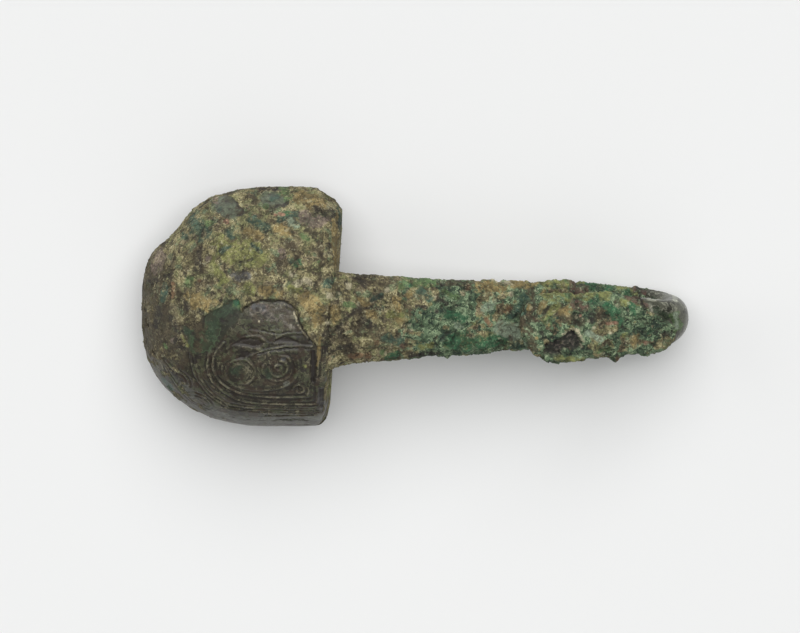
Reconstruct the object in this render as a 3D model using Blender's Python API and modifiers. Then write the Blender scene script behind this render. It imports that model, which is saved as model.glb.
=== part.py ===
"""Cast bronze garment hook, lying on its back as it does when loose.

One casting: a domed, hollow-backed body, a neck that runs down from its shoulder,
a hook that turns back over the neck, and a round button on a stem in the hollow.
Metres, +Z up. +X runs from the tail to the bend of the hook, and the origin is
on the resting surface, under the middle of the box.
"""

import math

import bmesh
import bpy
from mathutils import Vector

# Overall
LENGTH = 0.0724  # tail of the body to the outside of the hook's bend
CLEAR_CUT = 0.0020  # how far a cutter runs past what it cuts
BURIED = 0.0016  # how deep a joined piece starts inside its neighbour

# Body
BODY_LENGTH = 0.0257  # tail to the crown's edge at the shoulder, on the +Y side
BODY_HALF_WIDTH = 0.0160
BODY_SHIFT = 0.0002  # the body's middle, off the neck's, towards +Y
WIDEST_SHARE = 0.70  # of the body's length, where it is widest and reaches its full height
CROWN_HEIGHT = 0.0108  # rim to crown
TAIL_POWER = {1: 2.20, -1: 2.47}  # squareness of the plan on the +Y and -Y side
SHOULDER_ROUND = {1: 0.0032, -1: 0.0016}  # plan radius at the shoulder corners
SHOULDER_EDGE = 0.0007  # rounding of the crown at the shoulder
SHOULDER_SKEW = 0.0008  # how much further forward the +Y corner stands
SHOULDER_LEAN = 0.0008  # how much further forward the shoulder stands at the rim
ARCH_POWER = 2.4
ARCH_FALL = 0.62
CROWN_POWER = 2.2
CROWN_FALL = 0.60
WORN_DEPTH = 0.0018  # bite out of the +Y tail corner, where the casting is broken
WORN_AT = 0.0040
WORN_REACH = 0.0024
WALL = 0.0024
SHOULDER_WALL = 0.0030
TAIL_FLAT = 0.0001  # the first section stands this far in from the very tail

# Button and stem, on the underside
BUTTON_AT = 0.0130  # from the tail
BUTTON_RADIUS = 0.0070
BUTTON_THICKNESS = 0.0020
BUTTON_EDGE = 0.0005
STEM_RADIUS = 0.0026
STEM_FLARE = 0.0006
STRAP_GAP = 0.0044  # button to the plane of the body's rim

# Neck, bend and head of the hook
NECK_ROOT_DROP = 0.0036  # crown to the middle of the neck at its root
NECK_ROOT_SLOPE = 5.0  # degrees below level
NECK_WIDTH_ROOT = 0.0119
NECK_WIDTH_END = 0.0068
NECK_THICK_ROOT = 0.0064
NECK_THINNING = 1.35  # 1 would thin the neck evenly down to the bend
NECK_REACH = 0.0130  # pull of the neck's curve at both ends
NECK_FLARE = 0.0022  # extra width where the neck meets the shoulder
FLARE_REACH = 0.0014
BEND_RADIUS = 0.0044  # of the bend's middle line
BEND_THICKNESS = 0.0039
BEND_NARROWING = 0.0020
BEND_ROUNDNESS = 1.5  # how closely the narrowing keeps to the tip
BEND_SWAY = 0.0005  # the tip's lean towards +Y
BEND_START = -102.0  # degrees round the bend, from straight ahead
BEND_END = 74.0
HEAD_REACH_BACK = 0.0218  # bend's outside to the end of the head
HEAD_LIFT = 0.0038  # rise of the head from the bend to its end
HEAD_DROOP = 0.0005  # fall of the head's curve at its end
HEAD_WIDTH_START = 0.0078
HEAD_WIDTH = 0.0088
HEAD_SPREAD = 2.2  # 1 would reach the full width only at the end
HEAD_THICKNESS = 0.0033
SNOUT_LENGTH = 0.0038  # rounded end of the head
SNOUT_THINNING = 0.55  # share of the thickness that the end keeps
SNOUT_POWER = 2.3  # squareness of the head's end in plan
SNOUT_BLUNTNESS = 0.12  # 0 would end in a point
FRONT_POWER = 2.3  # squareness of the section, on the decorated side
BACK_POWER = 3.0
TIP_POWER = 2.1

# Raised threads of the cast ornament. A place is a share of the body's length from the
# tail and a share of its half width off its middle, and a radius is a share of the latter.
THREAD = 0.00030  # half the width of a thread
SPIRAL_PITCH = 0.066
SPIRAL_START = 0.35  # of the pitch, from the centre
SPIRALS = {  # place, radius, degrees at which it starts, and hand
    "eye": ((0.735, -0.415), 0.157, 200, 1),
    "cheek": ((0.545, -0.425), 0.130, 20, -1),
    "curl": ((0.830, -0.570), 0.050, 90, 1),
    "far_cheek": ((0.520, 0.505), 0.140, 0, 1),
}
FRAME_LINES = {  # place of the line's tail side, and of its long side
    "inner_frame": (0.395, -0.672),
    "middle_frame": (0.360, -0.738),
    "outer_frame": (0.280, -0.808),
}
FRAME_CORNER = 0.39
FRAME_TOP = -0.29
FRAME_TURN = 0.85  # of its rise, which the corner takes
BROW = ((0.610, -0.275), (0.710, -0.255), (0.825, -0.238))
STRIP_INSET = 0.085  # of the strip beside the shoulder, from the shoulder
STRIP_TOP = -0.200
STRIP_END = -0.520

# Chipped hollow in the head of the hook
CHIP_BACK = 0.0060  # from the end of the head
CHIP_SIDE = -0.0030
CHIP_SIZE = (0.0023, 0.0016, 0.0009)  # half its length, width and depth

# Fineness
BODY_STATIONS = 19
SHOULDER_STATIONS = 5
ARCH_POINTS = 25
RING_POINTS = 20
NECK_STATIONS = 13
BEND_STATIONS = 13
HEAD_STATIONS = 12
BUTTON_SIDES = 36
THREAD_POINTS_A_TURN = 13
FEWEST_TURNS = 0.8
FRAME_POINTS = 8

BRONZE = (0.150, 0.125, 0.062, 1.0)

RIM_Z = BUTTON_THICKNESS + STRAP_GAP
CROWN_Z = RIM_Z + CROWN_HEIGHT
SLIMNESS = BODY_HALF_WIDTH / BODY_LENGTH


def clear_scene():
    """Remove every object that the file opened with."""
    for thing in list(bpy.data.objects):
        bpy.data.objects.remove(thing, do_unlink=True)


def bronze():
    """Patinated bronze."""
    material = bpy.data.materials.new("patinated_bronze")
    material.use_nodes = True
    shader = material.node_tree.nodes["Principled BSDF"]
    shader.inputs["Base Color"].default_value = BRONZE
    shader.inputs["Roughness"].default_value = 0.7
    shader.inputs["Metallic"].default_value = 0.3
    return material


def link(name, mesh, collection):
    """A new object for a mesh, in a collection."""
    thing = bpy.data.objects.new(name, mesh)
    collection.objects.link(thing)
    return thing


def mesh_from_rings(name, rings):
    """A closed tube through rings of points, with flat ends."""
    bm = bmesh.new()
    loops = [[bm.verts.new(p) for p in ring] for ring in rings]
    count = len(rings[0])
    for one, two in zip(loops, loops[1:]):
        for i in range(count):
            j = (i + 1) % count
            bm.faces.new((one[i], one[j], two[j], two[i]))
    bm.faces.new(reversed(loops[0]))
    bm.faces.new(loops[-1])
    bmesh.ops.recalc_face_normals(bm, faces=bm.faces)
    mesh = bpy.data.meshes.new(name)
    bm.to_mesh(mesh)
    bm.free()
    return mesh


def apply_boolean(thing, cutter, operation):
    """Join or cut one object with another, and remove the other."""
    step = thing.modifiers.new(operation.lower(), "BOOLEAN")
    step.operation = operation
    step.object = cutter
    step.solver = "EXACT"
    graph = bpy.context.evaluated_depsgraph_get()
    mesh = bpy.data.meshes.new_from_object(thing.evaluated_get(graph))
    thing.modifiers.clear()
    thing.data = mesh
    bpy.data.objects.remove(cutter, do_unlink=True)


# Form of the body


def rounded_off(past, radius):
    """How far a rounded corner has fallen back, past the place where it starts."""
    if radius <= 0.0 or past <= 0.0:
        return 0.0
    return radius - math.sqrt(max(0.0, radius**2 - min(past, radius) ** 2))


def swell(x, power, inset):
    """Growth from 0 at the tail to 1 at the widest place, at x from the tail."""
    widest = WIDEST_SHARE * BODY_LENGTH
    reach = min(1.0, max(0.0, (widest - x) / (widest - inset)))
    return 1.0 - reach**power


def half_width(x, side, inset=0.0):
    """Half width of the body on one side (1 or -1), at x from the tail."""
    power = TAIL_POWER[side]
    wide = (BODY_HALF_WIDTH - inset) * swell(x, power, inset) ** (1.0 / power)
    corner = SHOULDER_ROUND[side] - inset
    wide -= rounded_off(x - (BODY_LENGTH - inset - corner), corner)
    if side > 0:
        wide -= WORN_DEPTH * math.exp(-(((x - WORN_AT) / WORN_REACH) ** 2))
    return wide


def crown(x, inset=0.0):
    """Height of the body's middle line over the rim, at x from the tail."""
    high = (CROWN_HEIGHT - inset) * swell(x, CROWN_POWER, inset) ** CROWN_FALL
    return high - rounded_off(x - (BODY_LENGTH - SHOULDER_EDGE), SHOULDER_EDGE)


def on_dome(x, share, inset=0.0):
    """Point of the dome at x from the tail, at a share of the half width from -1 to 1."""
    side = 1 if share >= 0 else -1
    y = BODY_SHIFT + share * half_width(x, side, inset)
    rise = crown(x, inset) * (1.0 - abs(share) ** ARCH_POWER) ** ARCH_FALL
    skew = SHOULDER_SKEW * (1.0 - (y - BODY_SHIFT) / BODY_HALF_WIDTH) / 2.0
    lean = SHOULDER_LEAN * (1.0 - rise / CROWN_HEIGHT)
    return Vector((x + (lean - skew) * x / BODY_LENGTH, y, RIM_Z + rise))


def stations(first, last):
    """Places of the sections: closer together at the tail and at the rounded shoulder."""
    turn = last - max(SHOULDER_ROUND.values())
    places = []
    for i in range(BODY_STATIONS):
        places.append(first + (turn - first) * (1.0 - math.cos(math.pi / 2 * i / BODY_STATIONS)))
    for i in range(SHOULDER_STATIONS + 1):
        places.append(turn + (last - turn) * math.sin(math.pi / 2 * i / SHOULDER_STATIONS))
    return places


def dome_rings(first, last, inset, below):
    """Sections of the dome from the tail to the shoulder, closed along the rim."""
    rings = []
    for x in stations(first, last):
        ring = []
        for j in range(ARCH_POINTS):
            share = math.sin(math.pi / 2 * (2.0 * j / (ARCH_POINTS - 1) - 1.0))
            ring.append(on_dome(x, share, inset))
        if below > 0.0:
            ring.append(ring[-1] - Vector((0, 0, below)))
            ring.append(ring[0] - Vector((0, 0, below)))
        rings.append(ring)
    return rings


def body(parts, cutters):
    """The domed body with its hollow back."""
    outside = dome_rings(TAIL_FLAT, BODY_LENGTH, 0.0, 0.0)
    inside = dome_rings(WALL + TAIL_FLAT, BODY_LENGTH - SHOULDER_WALL, WALL, CLEAR_CUT)
    shell = link("garment_hook", mesh_from_rings("garment_hook", outside), parts)
    hollow = link("hollow", mesh_from_rings("hollow", inside), cutters)
    apply_boolean(shell, hollow, "DIFFERENCE")
    return shell


# Neck and hook


def bezier(a, b, c, d, t):
    """Point of a cubic curve."""
    s = 1.0 - t
    return a * s**3 + b * (3 * s * s * t) + c * (3 * s * t * t) + d * t**3


def bend_centre():
    """Centre of the hook's bend, so that its outside is the length and its underside rests."""
    return Vector((LENGTH - BEND_THICKNESS / 2 - BEND_RADIUS, BEND_THICKNESS / 2 + BEND_RADIUS))


def on_bend(degrees):
    """Point of the bend's middle line, and its heading."""
    a = math.radians(degrees)
    place = bend_centre() + BEND_RADIUS * Vector((math.cos(a), math.sin(a)))
    return place, Vector((-math.sin(a), math.cos(a)))


def neck_section(t):
    """Middle line, sway, width, thickness and squareness of the neck, from root to bend."""
    shoulder = on_dome(BODY_LENGTH, 0.0).x
    root = Vector((shoulder - BURIED, CROWN_Z - NECK_ROOT_DROP))
    down = math.radians(NECK_ROOT_SLOPE)
    heading = Vector((math.cos(down), -math.sin(down)))
    end, end_heading = on_bend(BEND_START)
    place = bezier(root, root + heading * NECK_REACH, end - end_heading * NECK_REACH, end, t)
    past_shoulder = max(0.0, place.x - shoulder)
    width = NECK_WIDTH_ROOT + (NECK_WIDTH_END - NECK_WIDTH_ROOT) * t
    width += NECK_FLARE * math.exp(-past_shoulder / FLARE_REACH)
    thick = NECK_THICK_ROOT + (BEND_THICKNESS - NECK_THICK_ROOT) * min(1.0, t * NECK_THINNING)
    return place, 0.0, width, thick, BACK_POWER


def bend_section(t):
    """The same of the bend, which narrows to a rounded tip."""
    degrees = BEND_START + (BEND_END - BEND_START) * t
    place, _ = on_bend(degrees)
    ahead = max(0.0, math.cos(math.radians(degrees))) ** BEND_ROUNDNESS
    width = NECK_WIDTH_END + (HEAD_WIDTH_START - NECK_WIDTH_END) * t - BEND_NARROWING * ahead
    thick = BEND_THICKNESS + (HEAD_THICKNESS - BEND_THICKNESS) * t * t
    power = BACK_POWER - (BACK_POWER - TIP_POWER) * ahead
    return place, BEND_SWAY * ahead, width, thick, power


def head_section(t):
    """The same of the head, from the bend to its rounded end."""
    start, heading = on_bend(BEND_END)
    end = Vector((LENGTH - HEAD_REACH_BACK, start.y + HEAD_LIFT))
    pull = (start - end).length / 3
    place = bezier(start, start + heading * pull, end + Vector((pull, HEAD_DROOP)), end, t)
    grown = min(1.0, t * HEAD_SPREAD)
    width = HEAD_WIDTH_START + (HEAD_WIDTH - HEAD_WIDTH_START) * grown * grown * (3 - 2 * grown)
    into_snout = max(0.0, 1.0 - (place.x - end.x) / SNOUT_LENGTH)
    width *= max(SNOUT_BLUNTNESS, 1.0 - into_snout**SNOUT_POWER) ** (1 / SNOUT_POWER)
    thick = HEAD_THICKNESS * (1.0 - (1.0 - SNOUT_THINNING) * into_snout**2)
    return place, 0.0, width, thick, BACK_POWER


def section_ring(place, heading, sway, width, thick, power):
    """Points round one section: flat towards the back, rounder towards the front."""
    front = Vector((-heading.y, heading.x))
    ring = []
    for i in range(RING_POINTS):
        a = 2 * math.pi * (i + 0.5) / RING_POINTS
        e = FRONT_POWER if math.sin(a) > 0 else power
        across = math.copysign(abs(math.cos(a)) ** (2 / e), math.cos(a)) * width / 2
        out = math.copysign(abs(math.sin(a)) ** (2 / e), math.sin(a)) * thick / 2
        spot = place + front * out
        ring.append(Vector((spot.x, sway + across, spot.y)))
    return ring


def hook_sections():
    """Every section from the neck's root to the end of the head."""
    sections = [neck_section(i / NECK_STATIONS) for i in range(NECK_STATIONS)]
    sections += [bend_section(i / BEND_STATIONS) for i in range(BEND_STATIONS)]
    for i in range(HEAD_STATIONS + 1):
        sections.append(head_section(math.sin(math.pi / 2 * i / HEAD_STATIONS)))
    return sections


def neck_and_hook(collection):
    """The neck, the bend and the head of the hook as one swept solid."""
    sections = hook_sections()
    rings = []
    for i, (place, *sizes) in enumerate(sections):
        before = sections[max(0, i - 1)][0]
        after = sections[min(len(sections) - 1, i + 1)][0]
        rings.append(section_ring(place, (after - before).normalized(), *sizes))
    return link("hook", mesh_from_rings("hook", rings), collection)


def chip_cutter(collection):
    """The chipped hollow in the upper face of the head."""
    chip_at = LENGTH - HEAD_REACH_BACK + CHIP_BACK
    line = [head_section(i / 40) for i in range(41)]
    place, _, _, thick, _ = min(line, key=lambda s: abs(s[0].x - chip_at))
    bm = bmesh.new()
    bmesh.ops.create_uvsphere(bm, u_segments=14, v_segments=8, radius=1.0)
    bmesh.ops.scale(bm, vec=CHIP_SIZE, verts=bm.verts)
    where = Vector((chip_at, CHIP_SIDE, place.y + thick / 2 - CHIP_SIZE[2] * 0.1))
    bmesh.ops.translate(bm, vec=where, verts=bm.verts)
    mesh = bpy.data.meshes.new("chip")
    bm.to_mesh(mesh)
    bm.free()
    return link("chip", mesh, collection)


# Button


def button(collection):
    """The round button and its stem, turned about an upright axis."""
    top = RIM_Z + crown(BUTTON_AT) - WALL / 2
    r, t, e = BUTTON_RADIUS, BUTTON_THICKNESS, BUTTON_EDGE
    profile = [
        (0.0, top),
        (STEM_RADIUS, top),
        (STEM_RADIUS, t + STEM_FLARE),
        (STEM_RADIUS + STEM_FLARE, t),
        (r - e, t),
        (r, t - e),
        (r, e),
        (r - e, 0.0),
        (0.0, 0.0),
    ]
    mesh = bpy.data.meshes.new("button")
    points = [(radius, 0.0, z) for radius, z in profile]
    mesh.from_pydata(points, [(i, i + 1) for i in range(len(points) - 1)], [])
    turned = link("button", mesh, collection)
    turned.location = (BUTTON_AT, BODY_SHIFT, 0.0)
    screw = turned.modifiers.new("turn", "SCREW")
    screw.steps = screw.render_steps = BUTTON_SIDES
    screw.use_merge_vertices = True
    screw.merge_threshold = 0.00001
    screw.use_smooth_shade = False
    return turned


# Ornament


def spiral(place, radius, turned, hand):
    """Shares along a spiral thread, from its middle outwards."""
    inner = min(SPIRAL_PITCH, radius) * SPIRAL_START
    turns = max(FEWEST_TURNS, (radius - inner) / SPIRAL_PITCH)
    count = int(turns * THREAD_POINTS_A_TURN) + 1
    points = []
    for i in range(count + 1):
        out = inner + (radius - inner) * i / count
        a = math.radians(turned) + hand * 2 * math.pi * turns * i / count
        points.append((place[0] + out * SLIMNESS * math.cos(a), place[1] + out * math.sin(a)))
    return points


def frame_line(tail, side):
    """Shares along one line of the frame, from the shoulder round the corner."""
    points = []
    corner = FRAME_CORNER * SLIMNESS
    for i in range(FRAME_POINTS):
        points.append((1.0 - (1.0 - tail - corner) * i / FRAME_POINTS, side))
    for i in range(FRAME_POINTS + 1):
        a = math.radians(90 * i / FRAME_POINTS)
        up = side + (FRAME_TOP - side) * FRAME_TURN * (1.0 - math.cos(a))
        points.append((tail + corner * (1.0 - math.sin(a)), up))
    points.append((tail, FRAME_TOP))
    return points


def thread(name, line, collection):
    """A raised thread that follows the dome along a line of shares."""
    data = bpy.data.curves.new(name, "CURVE")
    data.dimensions = "3D"
    data.bevel_depth = THREAD
    data.bevel_resolution = 1
    data.use_fill_caps = True
    spline = data.splines.new("POLY")
    spline.points.add(len(line) - 1)
    for point, (along, across) in zip(spline.points, line):
        x = min(along * BODY_LENGTH, BODY_LENGTH - SHOULDER_EDGE - THREAD)
        side = 1 if across >= 0 else -1
        share = across * BODY_HALF_WIDTH / half_width(x, side)
        point.co = (*on_dome(x, share), 1.0)
    curve = link(name, data, collection)
    graph = bpy.context.evaluated_depsgraph_get()
    mesh = bpy.data.meshes.new_from_object(curve.evaluated_get(graph))
    bpy.data.objects.remove(curve, do_unlink=True)
    bm = bmesh.new()
    bm.from_mesh(mesh)
    bmesh.ops.remove_doubles(bm, verts=bm.verts, dist=0.00001)
    bmesh.ops.recalc_face_normals(bm, faces=bm.faces)
    bm.to_mesh(mesh)
    bm.free()
    return link(name, mesh, collection)


def ornament():
    """The line of every thread that still shows."""
    lines = {name: spiral(*sizes) for name, sizes in SPIRALS.items()}
    lines.update({name: frame_line(*sizes) for name, sizes in FRAME_LINES.items()})
    lines["brow"] = list(BROW)
    strip = 1.0 - STRIP_INSET
    for i in range(FRAME_POINTS + 1):
        down = STRIP_TOP + (STRIP_END - STRIP_TOP) * i / FRAME_POINTS
        lines.setdefault("strip", []).append((strip, down))
    return lines


def centre_on_origin(thing):
    """Put the origin under the middle of the box, on the resting surface."""
    corners = [v.co for v in thing.data.vertices]
    low = Vector([min(c[i] for c in corners) for i in range(3)])
    high = Vector([max(c[i] for c in corners) for i in range(3)])
    thing.location = -Vector(((low.x + high.x) / 2, (low.y + high.y) / 2, low.z))


def main():
    """Build the hook."""
    clear_scene()
    parts = bpy.data.collections.new("garment hook")
    cutters = bpy.data.collections.new("garment hook cutters")
    for collection in (parts, cutters):
        bpy.context.scene.collection.children.link(collection)
    hook = body(parts, cutters)
    apply_boolean(hook, neck_and_hook(cutters), "UNION")
    apply_boolean(hook, button(cutters), "UNION")
    for name, line in ornament().items():
        apply_boolean(hook, thread(name, line, cutters), "UNION")
    apply_boolean(hook, chip_cutter(cutters), "DIFFERENCE")
    hook.data.materials.clear()
    hook.data.materials.append(bronze())
    hook.data.shade_smooth()
    hook.data.set_sharp_from_angle(angle=math.radians(35))
    centre_on_origin(hook)


main()
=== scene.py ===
"""Cast bronze garment hook from the ground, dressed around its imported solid.

The casting is one piece: a domed body with worn ornament, a neck, a hook that turns
back over it, and a button under the hollow. Corrosion covers most of it as a sandy
ochre and malachite crust, built from displaced metal and from loose-looking grains.
"""

import logging
import math
from dataclasses import dataclass, field
from enum import Enum

import bmesh
import bpy
import numpy as np
from mathutils import Matrix, Vector


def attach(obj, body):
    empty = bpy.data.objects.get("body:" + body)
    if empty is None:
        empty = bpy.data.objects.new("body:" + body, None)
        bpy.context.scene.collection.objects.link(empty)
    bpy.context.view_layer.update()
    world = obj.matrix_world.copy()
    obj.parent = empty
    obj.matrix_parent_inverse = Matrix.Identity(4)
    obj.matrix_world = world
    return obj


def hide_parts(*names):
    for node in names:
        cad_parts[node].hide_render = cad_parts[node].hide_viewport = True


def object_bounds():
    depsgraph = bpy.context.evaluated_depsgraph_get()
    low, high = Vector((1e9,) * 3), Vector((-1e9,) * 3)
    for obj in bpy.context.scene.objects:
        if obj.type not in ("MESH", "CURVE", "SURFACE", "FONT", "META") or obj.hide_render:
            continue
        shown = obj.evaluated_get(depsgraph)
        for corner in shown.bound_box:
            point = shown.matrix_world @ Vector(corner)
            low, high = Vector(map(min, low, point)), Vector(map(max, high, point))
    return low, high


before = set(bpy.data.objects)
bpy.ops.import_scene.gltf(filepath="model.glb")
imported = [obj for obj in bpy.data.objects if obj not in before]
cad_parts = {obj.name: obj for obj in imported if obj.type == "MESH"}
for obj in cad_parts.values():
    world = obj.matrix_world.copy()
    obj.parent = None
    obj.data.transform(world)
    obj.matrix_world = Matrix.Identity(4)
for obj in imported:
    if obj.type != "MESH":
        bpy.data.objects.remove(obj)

CAD_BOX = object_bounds()
NODE = "garment_hook"
BODY_NAME = "root"
MM = 0.001
STAIN = "stain"
FLOOR_GAP = 0.02 * MM

LOG = logging.getLogger("garment_hook")

Points = np.ndarray
Socket = bpy.types.NodeSocket
Tree = bpy.types.NodeTree
Thing = bpy.types.Object
Mesh = bpy.types.Mesh
Colour = tuple[float, float, float]
Line = tuple[tuple[float, float], ...]
Spots = tuple[tuple[float, ...], ...]
Section = tuple[Points, float, float, float, float]


class Mask(Enum):
    """Values from 0 to 1 that the surface carries, by the name of their attribute."""

    CRUST = "crust"
    MALACHITE = "malachite"
    FILM = "film"
    DUST = "dust"
    BARE = "bare"
    ORNAMENT = "ornament"
    SUNK = "sunk"
    UNDER = "under"
    THREAD = "thread"
    GROOVE = "groove"
    HEIGHT = "height"
    VEIN = "vein"
    TONE = "tone"
    PIT = "pit"
    CRACK = "crack"
    STRENGTH = "strength"


def srgb(red: int, green: int, blue: int) -> Colour:
    """A colour as the shader needs it, from how it looks on a screen."""
    values = [v / 255 for v in (red, green, blue)]
    return tuple(v / 12.92 if v <= 0.04045 else ((v + 0.055) / 1.055) ** 2.4 for v in values)


class Tint(Enum):
    """Colours that lie in patches over the corrosion, in the order they cover each other; some stand partly
    or wholly for painted highlight, painted sheen or painted shadow.
    """

    UMBER = srgb(68, 60, 46)
    OCHRE = srgb(140, 122, 80)
    MOSS = srgb(122, 124, 74)
    SAGE = srgb(92, 100, 82)
    FERN = srgb(55, 68, 51)
    TEAL = srgb(58, 80, 68)
    LEAF = srgb(88, 110, 70)
    EMERALD = srgb(46, 90, 61)
    PALE = srgb(134, 148, 126)
    MAUVE = srgb(122, 108, 98)
    MAROON = srgb(88, 66, 57)
    RUST = srgb(112, 86, 64)
    SLATE = srgb(82, 82, 82)
    # Grey dust in patches, and along the lower rim band a painted sheen that stands in for the bright
    # floor's reflection.
    ASH = srgb(94, 95, 86)
    # Dark specks and blots; some of them are painted shadow among the crust on the tail.
    SOOT = srgb(44, 39, 36)
    # Painted highlight: a pale band that stands in for light caught along the bare tip's upper bevel.
    STEEL = srgb(172, 174, 156)
    CORAL = srgb(146, 110, 92)
    CREAM = srgb(184, 175, 146)


# Meshes and noise


def new_object(name: str, mesh: Mesh) -> Thing:
    """Put a mesh in the scene as an object at the origin.

    Args:
        name: Name of the object.
        mesh: Its mesh.

    Returns:
        The new object.
    """
    thing = bpy.data.objects.new(name, mesh)
    bpy.context.scene.collection.objects.link(thing)
    return thing


def baked(thing: Thing) -> Thing:
    """Turn an object's modifiers into plain mesh.

    Args:
        thing: The object, whose modifiers are then removed.

    Returns:
        The same object.
    """
    graph = bpy.context.evaluated_depsgraph_get()
    mesh = bpy.data.meshes.new_from_object(thing.evaluated_get(graph))
    thing.modifiers.clear()
    old = thing.data
    thing.data = mesh
    bpy.data.meshes.remove(old)
    return thing


def tube_of_rings(name: str, rings: Points) -> Thing:
    """Skin a stack of rings into a closed tube whose ends draw in to a point.

    Args:
        name: Name of the object.
        rings: Array of rings, points and coordinates.

    Returns:
        The closed tube.
    """
    count, sides, _ = rings.shape
    first, last = rings[0].mean(axis=0), rings[-1].mean(axis=0)
    verts = np.vstack([rings.reshape(-1, 3), first, last])
    i, j = np.meshgrid(np.arange(count - 1), np.arange(sides), indexing="ij")
    k = (j + 1) % sides
    quads = np.stack([i * sides + j, i * sides + k, (i + 1) * sides + k, (i + 1) * sides + j], -1)
    faces = quads.reshape(-1, 4).tolist()
    around = np.arange(sides)
    nearer = (around + 1) % sides
    low, high = count * sides, count * sides + 1
    faces += np.stack([nearer, around, np.full(sides, low)], -1).tolist()
    base = (count - 1) * sides
    faces += np.stack([base + around, base + nearer, np.full(sides, high)], -1).tolist()
    mesh = bpy.data.meshes.new(name)
    mesh.from_pydata(verts.tolist(), [], faces)
    thing = new_object(name, mesh)
    bm = bmesh.new()
    bm.from_mesh(mesh)
    bmesh.ops.recalc_face_normals(bm, faces=bm.faces)
    bm.to_mesh(mesh)
    bm.free()
    return thing


def boolean(thing: Thing, other: Thing, operation: str) -> None:
    """Join or cut one closed mesh with another, and remove the other.

    Args:
        thing: The object that is kept.
        other: The object that is joined on or cut away.
        operation: UNION or DIFFERENCE.
    """
    step = thing.modifiers.new(operation.lower(), "BOOLEAN")
    step.operation = operation
    step.object = other
    step.solver = "MANIFOLD"
    baked(thing)
    bpy.data.objects.remove(other, do_unlink=True)


def read_points(mesh: Mesh, what: str = "co") -> Points:
    """Read each point's place (co) or its normal (normal) as an array."""
    flat = np.empty(len(mesh.vertices) * 3, dtype=np.float64)
    mesh.vertices.foreach_get(what, flat)
    return flat.reshape(-1, 3)


def write_mask(mesh: Mesh, mask: Mask, values: Points) -> None:
    """Store one value for each point of a mesh.

    Args:
        mesh: The mesh.
        mask: Which mask the values are.
        values: One value for each point.
    """
    layer = mesh.attributes.get(mask.value) or mesh.attributes.new(mask.value, "FLOAT", "POINT")
    layer.data.foreach_set("value", np.asarray(values, dtype=np.float32))


def write_masks(mesh: Mesh, masks: dict[Mask, Points]) -> None:
    """Store several masks on a mesh."""
    for mask, values in masks.items():
        write_mask(mesh, mask, values)


def smooth_step(low: float, high: float, values: Points) -> Points:
    """Ease values from 0 at low to 1 at high."""
    t = np.clip((values - low) / (high - low), 0.0, 1.0)
    return t * t * (3.0 - 2.0 * t)


def lattice_noise(points: Points, size: float, seed: int) -> Points:
    """Soft noise from 0 to 1 on a lattice.

    Args:
        points: Places, one row each.
        size: Distance over which the noise changes.
        seed: Which noise of many.

    Returns:
        One value for each place.
    """
    table = np.random.default_rng(seed).random((32, 32, 32))
    place = points / size + 100.0
    whole = np.floor(place).astype(int)
    part = place - whole
    part = part * part * (3.0 - 2.0 * part)
    total = np.zeros(len(points))
    for corner in range(8):
        step = np.array([corner >> 2 & 1, corner >> 1 & 1, corner & 1])
        share = np.prod(np.where(step, part, 1.0 - part), axis=1)
        at = (whole + step) % 32
        total += share * table[at[:, 0], at[:, 1], at[:, 2]]
    return total


def rough_noise(points: Points, size: float, seed: int, octaves: int = 3) -> Points:
    """Noise from about 0 to 1 with finer and finer detail."""
    total, weight, reach = np.zeros(len(points)), 0.0, 1.0
    for octave in range(octaves):
        total += reach * lattice_noise(points, size / 2**octave, seed + octave)
        weight += reach
        reach *= 0.55
    return total / weight


def distance_inside(plan: Points, outline: Line) -> Points:
    """How far each place is inside a closed outline, negative outside.

    Args:
        plan: Places in plan, one row each.
        outline: Corners of the outline.

    Returns:
        One distance for each place.
    """
    corners = np.array(outline)
    ends = np.roll(corners, -1, axis=0)
    best = np.full(len(plan), 1e9)
    inside = np.zeros(len(plan), dtype=bool)
    for a, b in zip(corners, ends):
        along = b - a
        t = np.clip(((plan - a) @ along) / (along @ along), 0.0, 1.0)
        gap = plan - (a + t[:, None] * along)
        best = np.minimum(best, np.hypot(gap[:, 0], gap[:, 1]))
        crosses = (a[1] > plan[:, 1]) != (b[1] > plan[:, 1])
        with np.errstate(divide="ignore", invalid="ignore"):
            at = a[0] + (plan[:, 1] - a[1]) * (b[0] - a[0]) / (b[1] - a[1])
        inside ^= crosses & (plan[:, 0] < at)
    return np.where(inside, best, -best)


def evenly_along(line: Points, count: int) -> Points:
    """Places at equal steps along a polyline.

    Args:
        line: Corners of the line, one row each.
        count: How many places.

    Returns:
        The places, one row each.
    """
    steps = np.linalg.norm(np.diff(line, axis=0), axis=1)
    length = np.concatenate([[0.0], np.cumsum(steps)])
    at = np.linspace(0.0, length[-1], count)
    return np.stack([np.interp(at, length, line[:, i]) for i in range(line.shape[1])], axis=1)


# The casting's form


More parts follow.
